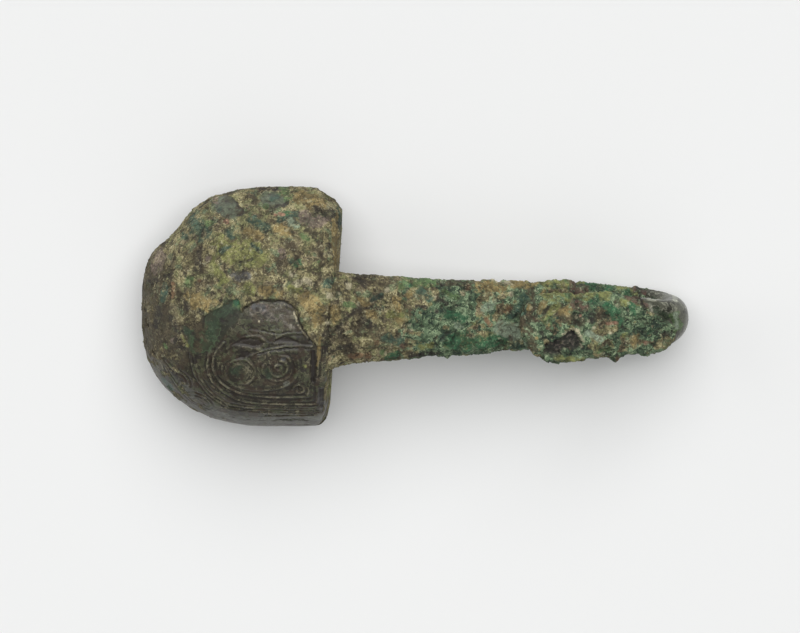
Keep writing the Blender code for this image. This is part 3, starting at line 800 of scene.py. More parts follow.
@dataclass
class Stains:
    """Patches of colour, some of them painted highlight, painted sheen or painted shadow, by places on the
    plan in millimetres.

    A patch is round (x, y, reach) or runs between two places (x, y, x, y, reach).
    """

    ragged: float = 2.3
    edge_size: float = 0.8
    patches: dict[Tint, Spots] = field(default_factory=lambda: {
        Tint.UMBER: (
            (-35.4, 3.8, -35.2, -5.2, 2.6), (-33.4, 3.4, -33.0, -5.6, 2.0), (-31.6, 2.8, -28.6, 0.8, 1.3),
            (-31.4, -2.0, -30.6, -5.6, 1.5), (-28.2, -4.2, 0.8),
            (-28.4, 8.0, -28.0, 6.0, 1.0), (-28.6, -0.8, -27.4, -2.2, 1.3), (-26.4, 1.6, 0.6),
            (-10.6, -1.0, -8.0, -3.6, 0.8), (-7.6, -0.6, -3.6, -2.0, 0.8),
            (-7.8, 5.0, -3.0, 4.6, 0.6), (3.0, 4.6, 9.6, 4.2, 0.3), (24.2, 1.4, 26.0, 2.6, 0.9),
            (14.3, 0.4, 15.4, 3.0, 0.8), (15.2, -0.3, 15.6, -2.6, 0.7), (17.4, 2.2, 18.8, 2.6, 0.8),
            (-18.9, 1.3, -17.6, 1.4, 0.6), (-20.6, 0.4, 0.5), (-16.4, 0.4, 0.6), (-25.2, -4.6, 0.5),
            (-20.0, -9.6, 0.5), (-24.2, -8.2, 0.4), (-35.4, 4.6, 0.9),
            (19.6, 1.4, 21.6, 0.8, 0.7), (-17.0, 10.0, -15.4, 8.6, 0.7), (-12.4, 9.6, -12.2, 7.6, 0.6),
        ),
        # Painted highlight along the upper bevel of the bare tip, not a colour of the metal.
        Tint.STEEL: (
            (30.6, 3.6, 33.6, 3.4, 0.2), (33.6, 3.4, 34.6, 2.9, 0.12),
        ),
        Tint.OCHRE: (
            (16.2, 2.2, 16.9, 3.2, 0.5), (20.4, 4.7, 23.6, 4.5, 0.4), (17.6, 0.6, 0.4),
            (-22.1, 11, -20.6, 10.6, 0.67), (-18.3, 11.4, -17, 11, 0.6),
            (-10.9, 13.2, -10.4, 6.5, 0.32), (-29, 2.2, -26.8, 1.6, 0.94),
            (-12.1, -2.1, -12.4, -5.9, 0.24),
            (-15.4, 15.1, -12.5, 14.6, 0.8), (-14.1, 3.4, -12.4, 0.5, 0.94),
            (-19.8, 3.9, -17.5, 3.5, 0.67), (-10.3, 1.8, -10.2, 0.2, 0.67), (-0.3, -1.5, 0.54),
            (8.3, 4.1, 11.7, 3.6, 0.54), (15.0, 2.6, 0.4), (-0.6, 3.4, 0.55), (19, 2.2, 20.3, 2.5, 0.5),
            (29.1, -1.5, 0.67), (22.1, -4.5, 0.4), (16.2, -1.4, 0.4),
            (-2.4, 2.8, -1.8, 0.2, 0.67), (-7.1, 2.8, -5.4, 0.9, 0.54), (13, 4.2, 17.4, 4.5, 0.67),
            (22.6, 4.4, 0.6),
        ),
        Tint.MOSS: (
            (17.0, 4.2, 25.0, 4.2, 0.7), (17.2, 1.4, 18.6, 3.0, 0.45), (19.4, -2.0, 0.3),
            (-24.9, 8.7, -20.9, 8.2, 1.61), (-21.5, 4.1, 0.8), (-30.9, -1.7, -29.4, -4.3, 0.17),
            (-10.5, -9.5, -10.7, -11, 0.34), (-26.1, 6.3, -25.1, 4.9, 0.8),
            (-16.2, 4.3, -14.9, 4.1, 0.54), (-13.9, -6.1, 0.29), (4.5, -3.6, 0.4), (8, -0.5, 0.4),
            (1.1, -3.5, 2.4, -3.2, 0.4), (27.1, 3.3, 29.7, 3.2, 0.47), (27.5, -1, 0.34),
            (18.8, -4, 22, -4.3, 0.47), (-3.2, 0.8, -1.7, 0.8, 0.47),
        ),
        Tint.SAGE: (
            (-26.4, 13.7, -24.3, 13.2, 0.9), (-19.8, 15.0, -17.8, 15.0, 0.75), (-23.3, 1.9, 0.6),
        ),
        Tint.FERN: (
            (31.7, 2.2, 33.0, 1.2, 0.6),
            (-23.2, 2.0, -24.8, 0.7, 1.2), (-25.4, 0.2, -26.4, -2.2, 0.9), (-29.6, -2.4, 0.6),
            (-18.8, -7.4, 0.8), (-23.0, -7.2, 0.8),
        ),
        Tint.TEAL: (
            (-25.9, 13.3, 0.3), (-19.2, 14.9, -18.4, 15.1, 0.35), (-30.4, 9.6, 0.5),
            (-29.1, 11.4, -27.7, 10.5, 1.07), (-18, 12.5, -15.7, 13.2, 0.4),
            (-21.3, 12.3, -19.7, 11.7, 0.67), (-24.9, 10.9, -24, 10.1, 0.4),
            (-25.4, 8.4, -24.2, 9.1, 0.35), (-21.4, 9.6, -20.1, 8.7, 0.29), (-16.2, 7.6, 0.47),
            (-11.3, 5.1, 0.67), (-32.6, 3.1, -32.9, 1.4, 0.47), (-32.7, -10, -31.8, -11, 0.54),
            (-10.3, 13.8, -10.1, 11.1, 0.21), (0.6, 3.8, 1.8, 3.1, 0.54), (3.6, -2.4, 0.54),
            (12.9, -3.7, 14.7, -4, 0.67), (12.9, 0.6, 14.5, 2.6, 0.67), (28.7, -0.7, 0.4),
            (-3.6, -2, -1.7, -2.8, 0.67), (-5.5, 2.8, -4.5, 3.3, 0.4), (-9.6, -7, -9.9, -8.5, 0.54),
        ),
        Tint.LEAF: (
            (-27.3, 11.6, 0.55), (-19.8, 14, 0.4), (-17.7, 15.7, 0.67), (-15.2, 10.8, -14.1, 10.5, 0.4),
            (-29.5, 4.3, -29.3, 4.3, 0.6), (-32.5, -4.8, 0.4), (-23, 1.9, 0.6),
            (-17.4, 15, -16.6, 15, 0.35), (-21.8, 13, 0.34), (-12.7, 7.7, 0.34),
            (-1.7, 4.6, 2.2, 4.8, 0.5), (3.9, 3.7, 5.6, 2.7, 0.4), (-4, -4.2, 0.4),
            (17.5, 0.9, 0.67), (34.1, 1.4, 34.7, -0.3, 0.55), (-9.1, 2.3, -7.9, 2.1, 0.36),
            (24.3, -3.2, 25.8, -3, 0.4), (20, 4.2, 0.6),
        ),
        Tint.EMERALD: (
            (-0.5, 4.4, 0.34), (4.6, 0.9, 6.4, 0.2, 0.67), (5.2, -2.9, 11.8, -3.1, 1.15),
            (-15.2, 7.3, 0.5), (-23.1, 2.2, 0.4), (-17.0, 13.4, 0.4), (-16.2, 12.4, 0.3),
            (-3.4, -5, -2, -4.6, 0.47), (25.3, 2.9, 26.7, 1.3, 0.8), (31.1, -0.6, 0.47),
            (22.9, 3.3, 23.7, 3.7, 0.54), (28.3, 2.8, 29.1, 1.5, 0.54),
        ),
        Tint.PALE: (
            (-16.7, 12.4, -15.7, 12, 0.4), (9.2, 1.1, 10.2, 1.9, 0.54),
            (22.8, -0.6, 24.5, -1.5, 0.45), (34.3, 1.3, 34.6, -0.3, 0.34), (11.2, -1.1, 13.9, -2.2, 1.0),
            (5.5, -0.7, 6.4, -1, 0.4),
        ),
        Tint.MAUVE: (
            (-26.5, 14.0, 0.4), (-15, 12.9, -12.6, 12.5, 0.8), (-34.1, 5.1, -33.4, 6.6, 0.8),
            (-26.9, 7.5, 0.54), (-17.4, 8.7, 0.54), (-31.4, -3.9, 0.4), (-20.8, 1.8, -19.5, 1.5, 0.67),
        ),
        Tint.MAROON: (
            (27.8, 3.9, 30.5, 2.9, 0.4), (15.8, 1.3, 0.54), (20.8, 3.3, 22.4, 2.7, 0.6),
            (-7.1, 4.8, -6.6, 4.4, 0.34), (-1.1, -3.7, -1.4, -3.4, 0.34),
        ),
        Tint.RUST: (
            (-31.4, 3.7, -31.6, 2.1, 0.27), (-28.1, 4.5, 0.27),
            (7.1, 3.9, 0.4), (12.3, 1.2, 0.67),
            (-8.1, -4.7, -5.8, -4.6, 0.4), (-4.7, -2.5, 0.54), (26.9, -4.2, 0.4),
            (9.5, -0.1, 9.9, -0.7, 0.34),
        ),
        Tint.SLATE: (
            (-23.3, 5.3, -21.7, 5.5, 0.8), (-16.8, -5.1, 0.34),
            (-20.7, 1.8, -19.7, 1.6, 0.54),
        ),
        # The two patches along the lower rim band are painted sheen, the floor's reflection painted as
        # lighter grey; the others are grey dust.
        Tint.ASH: (
            (-22.4, -14.7, -11.8, -14.1, 0.7), (-27.1, -13.2, -22.6, -14.7, 0.5),
            (-29.6, -10.4, -28.9, -11.4, 0.5), (-16.4, -8.6, 0.4),
        ),
        Tint.SOOT: (
            (-25.3, 2.3, 0.4), (-31.2, -8.4, -30.4, -9.2, 0.4), (-21.6, -4.6, 0.5), (-14.2, -6.6, 0.4),
            (-20.3, 1.3, 0.35), (-18.4, 0.3, 0.3), (-16.6, 1.9, 0.25), (-20.9, 15.6, -18.6, 15.8, 0.2),
            (-24.9, -0.2, 0.35), (-29.4, -5.2, -28.4, -6.2, 0.4),
            (-27.8, 10.3, 0.47), (-26.7, 12.1, -25.5, 11.7, 0.13), (-13.1, 13.8, -11.2, 13.5, 0.62),
            (-22.8, 7.3, -21.3, 7.7, 0.2), (-28.3, 7.8, -28.3, 5.9, 0.48), (-26.1, 3, 0.54),
            (-15.4, 6.8, 0.21), (-11.5, 9.7, -11.4, 8.7, 0.34), (-35.1, 3, -33.9, 3.6, 0.34),
            # The tail patches at (-30, 1), (-30.9, -3.7), (-31.6, -0.8) to (-30.4, -2.6) and (-30.6, -4.5)
            # are painted shadow among the crust, left of the green film.
            (-32.2, 4.3, 0.54), (-30, 1, 0.7), (-30.9, -3.7, 0.6), (-27.7, 0.5, 0.54), (-25.4, 2.4, 0.35),
            (-31.6, -0.8, -30.4, -2.6, 0.47), (-30.6, -4.5, -29.8, -4.6, 0.35),
            (-33.7, 0.1, -33.8, -2.4, 0.54), (-28.1, -5.6, 0.54), (-19.2, 0.6, 0.54),
            (-11.2, -1.8, -10.9, -3.7, 0.67), (-9.8, -0.6, -9.6, -1.6, 0.54),
            (-11.8, -9.4, -11.6, -12.2, 0.34), (-12.9, -4, -12.8, -8.2, 0.34),
            (-7.3, 5.2, -6.6, 4.4, 0.34), (-9.1, 5, 0.27), (-8.9, 4, 0.34), (-9.2, 0.2, -8, 1, 0.29),
            (-7.7, 1.4, -5.7, 1.9, 0.29), (-9.3, 0.1, -9.8, -1.1, 0.4), (-4.4, 1.5, 0.24),
            (-6.5, 0.2, -5.1, -0.6, 0.48), (-10.8, -2, 0.54), (-10.4, -3.8, -8.2, -3.1, 0.34),
            (-0.4, -4.7, 2.9, -4.5, 0.5), (0.3, 1.9, 1.4, 1.8, 0.29), (3.1, 2.9, 4.2, 2.2, 0.34),
            (3.6, 4.5, 0.27), (2.9, 1.2, 0.27),
            (32.9, -1, 33.6, -1, 0.43), (23.1, 1.6, 0.67),
            (25.2, -3.9, 0.27), (29.6, 3.5, 30.1, 2.5, 0.34), (16.5, -0.3, 17.1, -1, 0.4),
            (-7.9, 5.6, -5, 5.3, 0.27), (27.2, -4.7, 0.25),
        ),
        Tint.CORAL: (
            (-24.9, 12, 0.35), (-18.6, 13.1, -17.4, 13.2, 0.24), (21.7, 1.8, 0.29),
            (25.3, 0.6, 26.4, 0.7, 0.24), (30.6, -2.1, 0.29),
        ),
        Tint.CREAM: (
            (-16.1, 6.0, 0.5), (-15.2, 5.1, -13.8, 5.3, 0.5), (-27.4, 5.2, -27.4, 4.7, 0.12),
            (-15.6, 1.1, -15.1, 0, 0.13), (-15, -0.5, -13.5, -2.3, 0.11), (-16.9, 2.1, 0.1),
            (-20.1, -0.2, 0.16), (-14.3, -1.5, 0.12), (-8.6, 4.6, 0.4), (-11, 3.4, 0.5),
            (-9.8, 3.7, 0.2), (-11.2, -0.1, 0.4), (2.7, 3, 0.2), (-3.7, 3.9, 0.3), (12.6, 3, 0.26),
            (23.5, 0.2, 0.2), (25.7, -0.6, 0.22),
            (19.4, -0.7, 20.5, 0.0, 0.1), (20.5, 0.0, 21.3, -0.1, 0.13), (21.3, -0.1, 22.2, -1.6, 0.14),
            (22.2, -1.6, 22.0, -2.5, 0.13), (-0.3, -1.3, 0.27),
            (10.2, 4.6, 12.6, 4.5, 0.35),
        ),
    })

    def share(self, plan: Points, edge: Points, patches: Spots) -> Points:
        """How far the patches of one tint cover each place, from 0 to 1."""
        share = np.zeros(len(plan))
        for patch in patches:
            start, end = np.array(patch[:2]), np.array(patch[-3:-1])
            along = end - start
            t = np.clip((plan - start) @ along / max(along @ along, 1e-9), 0.0, 1.0)
            far = np.linalg.norm(plan - start - t[:, None] * along, axis=1) / patch[-1]
            share = np.maximum(share, 1.0 - smooth_step(0.6, 1.15, far + edge))
        return share

    def store(self, mesh: Mesh, seed: int) -> None:
        """Store the colour of the stains, and how far they cover.

        Args:
            mesh: The mesh.
            seed: Seed of their ragged edges.
        """
        place = read_points(mesh) / MM
        colour, cover = np.zeros((len(place), 3)), np.zeros(len(place))
        for number, tint in enumerate(Tint):
            edge = self.ragged * (rough_noise(place, self.edge_size, seed + 7 * number, 4) - 0.5)
            share = self.share(place[:, :2], edge, self.patches.get(tint, ()))
            total = share + cover * (1.0 - share)
            kept = (cover * (1.0 - share) / np.maximum(total, 1e-9))[:, None]
            colour = colour * kept + np.array(tint.value) * (1.0 - kept)
            cover = total
        layer = mesh.attributes.new(STAIN, "FLOAT_COLOR", "POINT")
        layer.data.foreach_set("color", np.column_stack([colour, cover]).astype(np.float32).ravel())


def press(mesh: Mesh, lumps: tuple[Lump, ...]) -> None:
    """Raise lumps and sink pits along the surface's normals."""
    place, out = read_points(mesh), read_points(mesh, "normal")
    for lump in lumps:
        far = np.linalg.norm(place / MM - (lump.x, lump.y, lump.z), axis=1) / lump.reach
        place += out * (lump.height * MM * np.exp(-(far**2)))[:, None]
    mesh.vertices.foreach_set("co", place.ravel())
    mesh.update()


@dataclass
class BodyZones:
    """Corrosion over the body, by places on the plan in millimetres."""

    dome: Dome
    ragged: float = 0.8
    crack_ragged: float = 0.35
    crack_steps: int = 120
    worn_crust: tuple[float, float] = (0.42, 0.45)
    side_crust: float = 0.5
    shoulder_crust: float = 0.75
    under_crust: float = 0.75
    under_green: float = 0.35
    filmed: float = 0.85
    far_ornament: float = 0.55
    crack: Line = (
        (-22.3, 0.9), (-22.1, 1.5), (-21.1, 2.1), (-19.7, 2.6), (-18.3, 2.5), (-17.0, 2.6),
        (-16.0, 2.2), (-15.2, 1.3), (-14.9, 0.1), (-14.4, -1.0), (-13.5, -2.2), (-12.7, -3.0),
    )
    tail_edge: Line = (
        (-9.0, -3.4), (-8.0, -18.0), (-25.0, -18.0), (-38.0, -14.0), (-38.0, 0.6), (-35.2, 0.6),
        (-33.4, 0.2), (-31.2, -0.4), (-29.6, -1.6), (-28.8, -1.9), (-27.6, 0.0), (-26.3, 0.9),
        (-25.0, 1.6), (-23.6, 2.5), (-22.8, 2.9), (-22.5, 2.0),
    )
    film: Line = (
        (-30.0, -0.9), (-28.2, 0.2), (-26.3, 0.9), (-25.0, 1.6), (-23.6, 2.6), (-22.6, 2.9),
        (-22.3, 1.2), (-23.0, -0.6), (-24.6, -2.8), (-26.0, -4.4), (-27.8, -5.8), (-29.2, -5.0),
        (-30.2, -2.9),
    )
    dusty: Line = (
        (-22.2, 1.0), (-21.0, 1.9), (-19.6, 2.3), (-17.0, 2.3), (-15.6, 1.2), (-14.9, -0.9),
        (-16.2, -1.4), (-18.4, -0.7), (-20.6, -0.2),
    )
    worn_tail: Line = (
        (-38.0, 4.6), (-34.6, 4.9), (-33.5, 4.3), (-30.9, 1.7), (-30.2, -1.1), (-29.4, -4.2), (-29.0, -5.4),
        (-30.7, -6.6), (-38.0, -7.6),
    )
    worn_side: Line = (
        (-38.0, -7.6), (-30.7, -6.6), (-29.6, -8.8), (-28.4, -11.4), (-26.2, -13.6), (-24.0, -15.0),
        (-28.0, -18.0), (-38.0, -18.0),
    )
    almonds: tuple[Line, ...] = (
        ((-24.2, -3.9), (-23.4, -3.1), (-22.5, -2.5), (-21.2, -2.3), (-20.0, -2.5), (-19.4, -3.0),
         (-19.7, -3.6), (-20.9, -3.9), (-22.1, -3.6), (-23.1, -3.6)),
        ((-22.5, -4.3), (-21.7, -4.1), (-21.0, -4.3), (-21.3, -5.0), (-22.0, -5.5), (-22.8, -5.4)),
        ((-18.7, -3.0), (-17.8, -2.4), (-16.9, -2.0), (-16.0, -2.1), (-15.1, -2.5), (-14.5, -2.9),
         (-15.7, -3.0), (-17.1, -3.0)),
        ((-23.7, -9.9), (-22.4, -10.5), (-20.8, -10.8), (-18.7, -10.9), (-16.5, -10.9), (-14.5, -10.8),
         (-14.5, -11.2), (-16.5, -11.4), (-18.7, -11.4), (-20.8, -11.4), (-22.4, -11.1), (-24.0, -10.6)),
        ((-13.3, -3.7), (-12.6, -3.7), (-12.5, -6.8), (-12.6, -8.4), (-13.2, -8.5), (-13.4, -6.5)),
        ((-12.2, -9.1), (-11.3, -9.1), (-11.2, -12.3), (-12.0, -12.1)),
        ((-16.0, -5.5), (-15.5, -5.4), (-15.2, -6.2), (-15.4, -7.2), (-16.0, -8.1), (-15.7, -6.8)),
        ((-15.2, -9.2), (-14.8, -8.8), (-14.4, -9.1), (-14.8, -9.5)),
    )
    smooth_spots: Spots = (
        (-24.9, 13.6, 2.0), (-23.6, 13.3, 1.2), (-19.0, 14.7, 1.7), (-17.6, 14.5, 1.0),
    )
    lumps: tuple[Lump, ...] = (
        Lump(-25.3, 2.3, 16.0, 0.32, -0.9),
        Lump(-15.4, 6.8, 16.7, 0.34, -0.9),
        Lump(-12.3, 13.6, 11.5, 0.7, -0.7),
        Lump(-23.0, 4.7, 16.5, 0.7, -0.45),
        Lump(-15.0, 7.3, 16.5, 0.5, 0.35),
        Lump(-21.3, 4.0, 16.8, 0.9, 0.35),
        Lump(-18.8, 3.8, 17.2, 0.8, 0.3),
        Lump(-16.9, 3.8, 17.2, 0.8, 0.25),
        Lump(-20.2, -8.6, 15.0, 0.45, 0.25),
        Lump(-15.1, 7.0, 16.5, 0.5, 0.3),
        Lump(-11.2, 15.4, 7.5, 2.0, -0.85),
        Lump(-36.2, 0.5, 7.5, 4.5, -0.35),
        Lump(-35.6, -4.5, 7.5, 3.0, -0.25),
        Lump(-21.0, -15.6, 7.0, 4.5, 0.2),
        Lump(-26.0, -13.5, 7.0, 2.5, 0.15),
        Lump(-10.0, -14.5, 9.0, 2.4, -0.6),
        Lump(-10.6, -15.8, 7.0, 1.6, -0.6),
        Lump(-9.8, -11.5, 12.0, 2.5, -0.35),
        Lump(-10.5, 13.2, 10.2, 0.6, 0.3),
        Lump(-10.3, 12.0, 11.2, 0.5, -0.25),
        Lump(-10.2, 10.6, 11.9, 0.7, 0.28),
        Lump(-10.1, 9.3, 10.2, 0.5, 0.3),
        Lump(-10.2, 8.0, 10.8, 0.5, -0.2),
        Lump(-10.1, 6.9, 12.6, 0.7, 0.3),
    )

    def store(self, mesh: Mesh) -> None:
        """Work out each kind of corrosion over the body, and store it on the mesh."""
        place = read_points(mesh)
        out = read_points(mesh, "normal")
        core = np.array([self.dome.tail_x + 0.6 * self.dome.length, 0.0, self.dome.rim_z - 3 * MM])
        away = place - core
        away /= np.linalg.norm(away, axis=1)[:, None]
        outside = smooth_step(0.05, 0.35, (away * out).sum(axis=1))
        outside *= smooth_step(-0.3, 0.1, (place[:, 2] - self.dome.rim_z) / MM)
        mm = place / MM
        wobble = np.stack([rough_noise(mm, 1.1, seed, 3) - 0.5 for seed in (3, 5)], axis=1)
        plan = mm[:, :2] + self.ragged * wobble
        clean = smooth_step(-0.05, 0.22, distance_inside(plan, self.crack + self.tail_edge))
        worn = smooth_step(-0.6, 0.9, distance_inside(plan + wobble, self.worn_tail))
        left = smooth_step(0.49, 0.58, rough_noise(mm, 1.3, 13, 4))
        crust = 1.0 - clean
        crust = crust + worn * (self.worn_crust[0] + self.worn_crust[1] * left - crust)
        side = smooth_step(-0.6, 0.9, distance_inside(plan + wobble, self.worn_side))
        left = smooth_step(0.50, 0.60, rough_noise(mm, 1.1, 17, 4))
        crust = np.maximum(crust, self.side_crust * side * left)
        for x, y, reach in self.smooth_spots:
            far = np.hypot(mm[:, 0] - x, (mm[:, 1] - y) * 1.6) / reach
            crust *= smooth_step(0.75, 1.0, far + 0.5 * wobble[:, 0])
        shoulder = smooth_step(0.55, 0.85, out[:, 0])
        left = smooth_step(0.36, 0.54, rough_noise(mm, 1.6, 11))
        crust = np.maximum(crust, self.shoulder_crust * shoulder * left)
        film = smooth_step(-0.3, 0.5, distance_inside(plan, self.film))
        dust = smooth_step(-0.2, 0.7, distance_inside(plan, self.dusty))
        sunk = np.zeros(len(mm))
        for almond in self.almonds:
            sunk = np.maximum(sunk, smooth_step(-0.05, 0.28, distance_inside(mm[:, :2], almond)))
        beyond = np.where(mm[:, 1] < 0, 1.0, self.far_ornament)
        under, none = 1.0 - outside, np.zeros(len(mm))
        write_masks(mesh, {
            Mask.CRUST: np.where(under > 0.5, self.under_crust, crust),
            Mask.FILM: film * outside,
            Mask.DUST: dust * outside,
            Mask.SUNK: sunk * outside,
            Mask.UNDER: under,
            Mask.ORNAMENT: outside * beyond * (1.0 - self.filmed * film),
            Mask.MALACHITE: self.under_green * under,
            Mask.BARE: none,
            Mask.PIT: none,
        })

    def crack_wire(self) -> Thing:
        """Edges along the crack where the crust has come away."""
        plan = smooth_line(np.array(self.crack), self.crack_steps)
        ragged = rough_noise(np.column_stack([plan, plan[:, :1]]), 0.7, 21) - 0.5
        plan = plan + self.crack_ragged * np.stack([ragged, ragged[::-1]], axis=1)
        z = self.dome.over(plan * MM)[1]
        mesh = bpy.data.meshes.new("crack")
        edges = [(i, i + 1) for i in range(self.crack_steps - 1)]
        mesh.from_pydata(np.column_stack([plan * MM, z]).tolist(), edges, [])
        return new_object("crack", mesh)


@dataclass
class HookZones:
    """Corrosion over the neck and the head, by places in millimetres."""

    green_from: tuple[float, float] = (-5.0, 3.5)
    crusty_head: Line = (
        (10.0, 7.0), (29.3, 7.0), (29.7, 3.4), (31.6, 1.9), (33.4, 1.0), (34.6, -0.7), (34.2, -2.4),
        (33.0, -3.6), (32.7, -7.0), (10.0, -7.0),
    )
    pit: Line = (
        (17.1, -3.6), (17.2, -2.2), (18.1, -1.7), (19.2, -1.2), (19.7, -0.6), (20.3, -0.1), (21.0, -0.1),
        (21.5, -0.6), (21.9, -1.2), (22.2, -1.7), (22.1, -2.5), (21.5, -2.9), (20.6, -3.0), (19.7, -2.9),
        (19.3, -3.6), (18.2, -3.8),
    )
    pit_depth: float = 0.8
    pit_lip: float = 0.10
    pit_bare: float = 0.5
    head_above: tuple[float, float] = (12.0, 12.8)
    least_green: float = 0.35
    under_share: float = 0.5
    spot_clean: float = 0.85
    spot_dust: float = 0.3
    smooth_spots: Spots = (
        (13.0, -2.0, 1.35), (11.9, -1.9, 0.9),
    )
    lumps: tuple[Lump, ...] = (
        Lump(22.4, 3.4, 4.6, 0.6, 0.55),
        Lump(20.0, 3.4, 4.6, 0.9, 0.35),
        Lump(24.6, 3.6, 4.2, 0.7, 0.3),
        Lump(27.4, 3.6, 3.0, 0.9, 0.3),
        Lump(13.0, 3.6, 6.4, 1.2, 0.3),
        Lump(9.9, 4.0, 8.0, 0.9, 0.3),
        Lump(16.5, 3.4, 5.6, 0.9, 0.25),
        Lump(22.3, -4.6, 13.4, 0.55, 0.45),
        Lump(26.6, -4.3, 12.6, 0.85, 0.95),
        Lump(24.4, -4.5, 13.2, 0.8, 0.2),
        Lump(28.9, -2.9, 12.8, 0.8, 0.35),
        Lump(19.0, -4.5, 14.0, 0.7, 0.25),
        Lump(3.6, -4.7, 7.5, 0.8, -0.35),
        Lump(1.4, -4.6, 8.8, 0.6, -0.3),
        Lump(19.0, 3.6, 4.6, 3.0, 0.38),
        Lump(23.5, 3.7, 4.2, 2.0, 0.25),
        Lump(31.2, 4.0, 8.0, 2.2, -0.5),
        Lump(36.0, 0.3, 6.5, 3.5, 0.42),
        Lump(23.5, -4.6, 13.2, 2.2, -0.55),
        Lump(26.5, -4.4, 12.8, 2.0, -0.6),
        Lump(28.4, -4.0, 12.4, 1.5, -0.35),
        Lump(30.0, -3.6, 12.0, 2.2, -0.35),
        Lump(15.6, -3.6, 13.8, 1.7, -0.8),
        Lump(29.1, -1.5, 13.0, 0.6, 0.4),
        Lump(-0.3, -1.5, 11.0, 0.5, 0.3),
        Lump(27.6, -1.0, 13.3, 0.35, 0.25),
    )

    def store(self, mesh: Mesh) -> None:
        """Work out each kind of corrosion over the neck and the head, and store it."""
        mm = read_points(mesh) / MM
        wobble = np.stack([rough_noise(mm, 1.0, seed, 3) - 0.5 for seed in (61, 67)], axis=1)
        plan = mm[:, :2] + wobble
        crusty = smooth_step(-0.15, 0.25, distance_inside(plan, self.crusty_head))
        front = smooth_step(27.5, 30.0, mm[:, 0]) * smooth_step(0.6, 3.6, mm[:, 2] + 2 * wobble[:, 0])
        bare = front * (1.0 - crusty)
        green = smooth_step(*self.green_from, mm[:, 0] + 5.0 * (rough_noise(mm, 3.0, 71) - 0.5))
        patchy = smooth_step(0.36, 0.56, rough_noise(mm, 2.2, 73))
        malachite = green * (self.least_green + (1.0 - self.least_green) * patchy) * (1.0 - bare)
        upper = smooth_step(*self.head_above, mm[:, 2])
        into_pit = distance_inside(mm[:, :2] + 0.5 * wobble, self.pit)
        pit = smooth_step(-0.12, 0.14, into_pit) * upper
        lip = np.exp(-(((into_pit + 0.12) / 0.16) ** 2)) * upper
        lip *= smooth_step(18.5, 20.5, mm[:, 0])
        out = read_points(mesh, "normal")
        place = mm + out * (self.pit_lip * lip - self.pit_depth * pit)[:, None]
        mesh.vertices.foreach_set("co", (place * MM).ravel())
        mesh.update()
        under = smooth_step(0.3, 0.8, -out[:, 2]) * smooth_step(0.0, -8.0, mm[:, 0] - 30.0)
        crust = (1.0 - bare) * (1.0 - self.pit_bare * pit)
        lens = np.zeros(len(mm))
        for x, y, reach in self.smooth_spots:
            far = np.hypot(mm[:, 0] - x, mm[:, 1] - y) / reach
            lens = np.maximum(lens, 1.0 - smooth_step(0.7, 1.0, far + 0.6 * wobble[:, 0]))
        lens *= smooth_step(13.0, 12.0, mm[:, 2])
        none = np.zeros(len(mm))
        write_masks(mesh, {
            Mask.CRUST: crust * (1.0 - self.spot_clean * lens),
            Mask.MALACHITE: malachite,
            Mask.BARE: bare,
            Mask.PIT: pit,
            Mask.UNDER: self.under_share * under,
            Mask.DUST: self.spot_dust * lens,
            Mask.FILM: none,
            Mask.SUNK: none,
            Mask.ORNAMENT: none,
        })


# Node trees


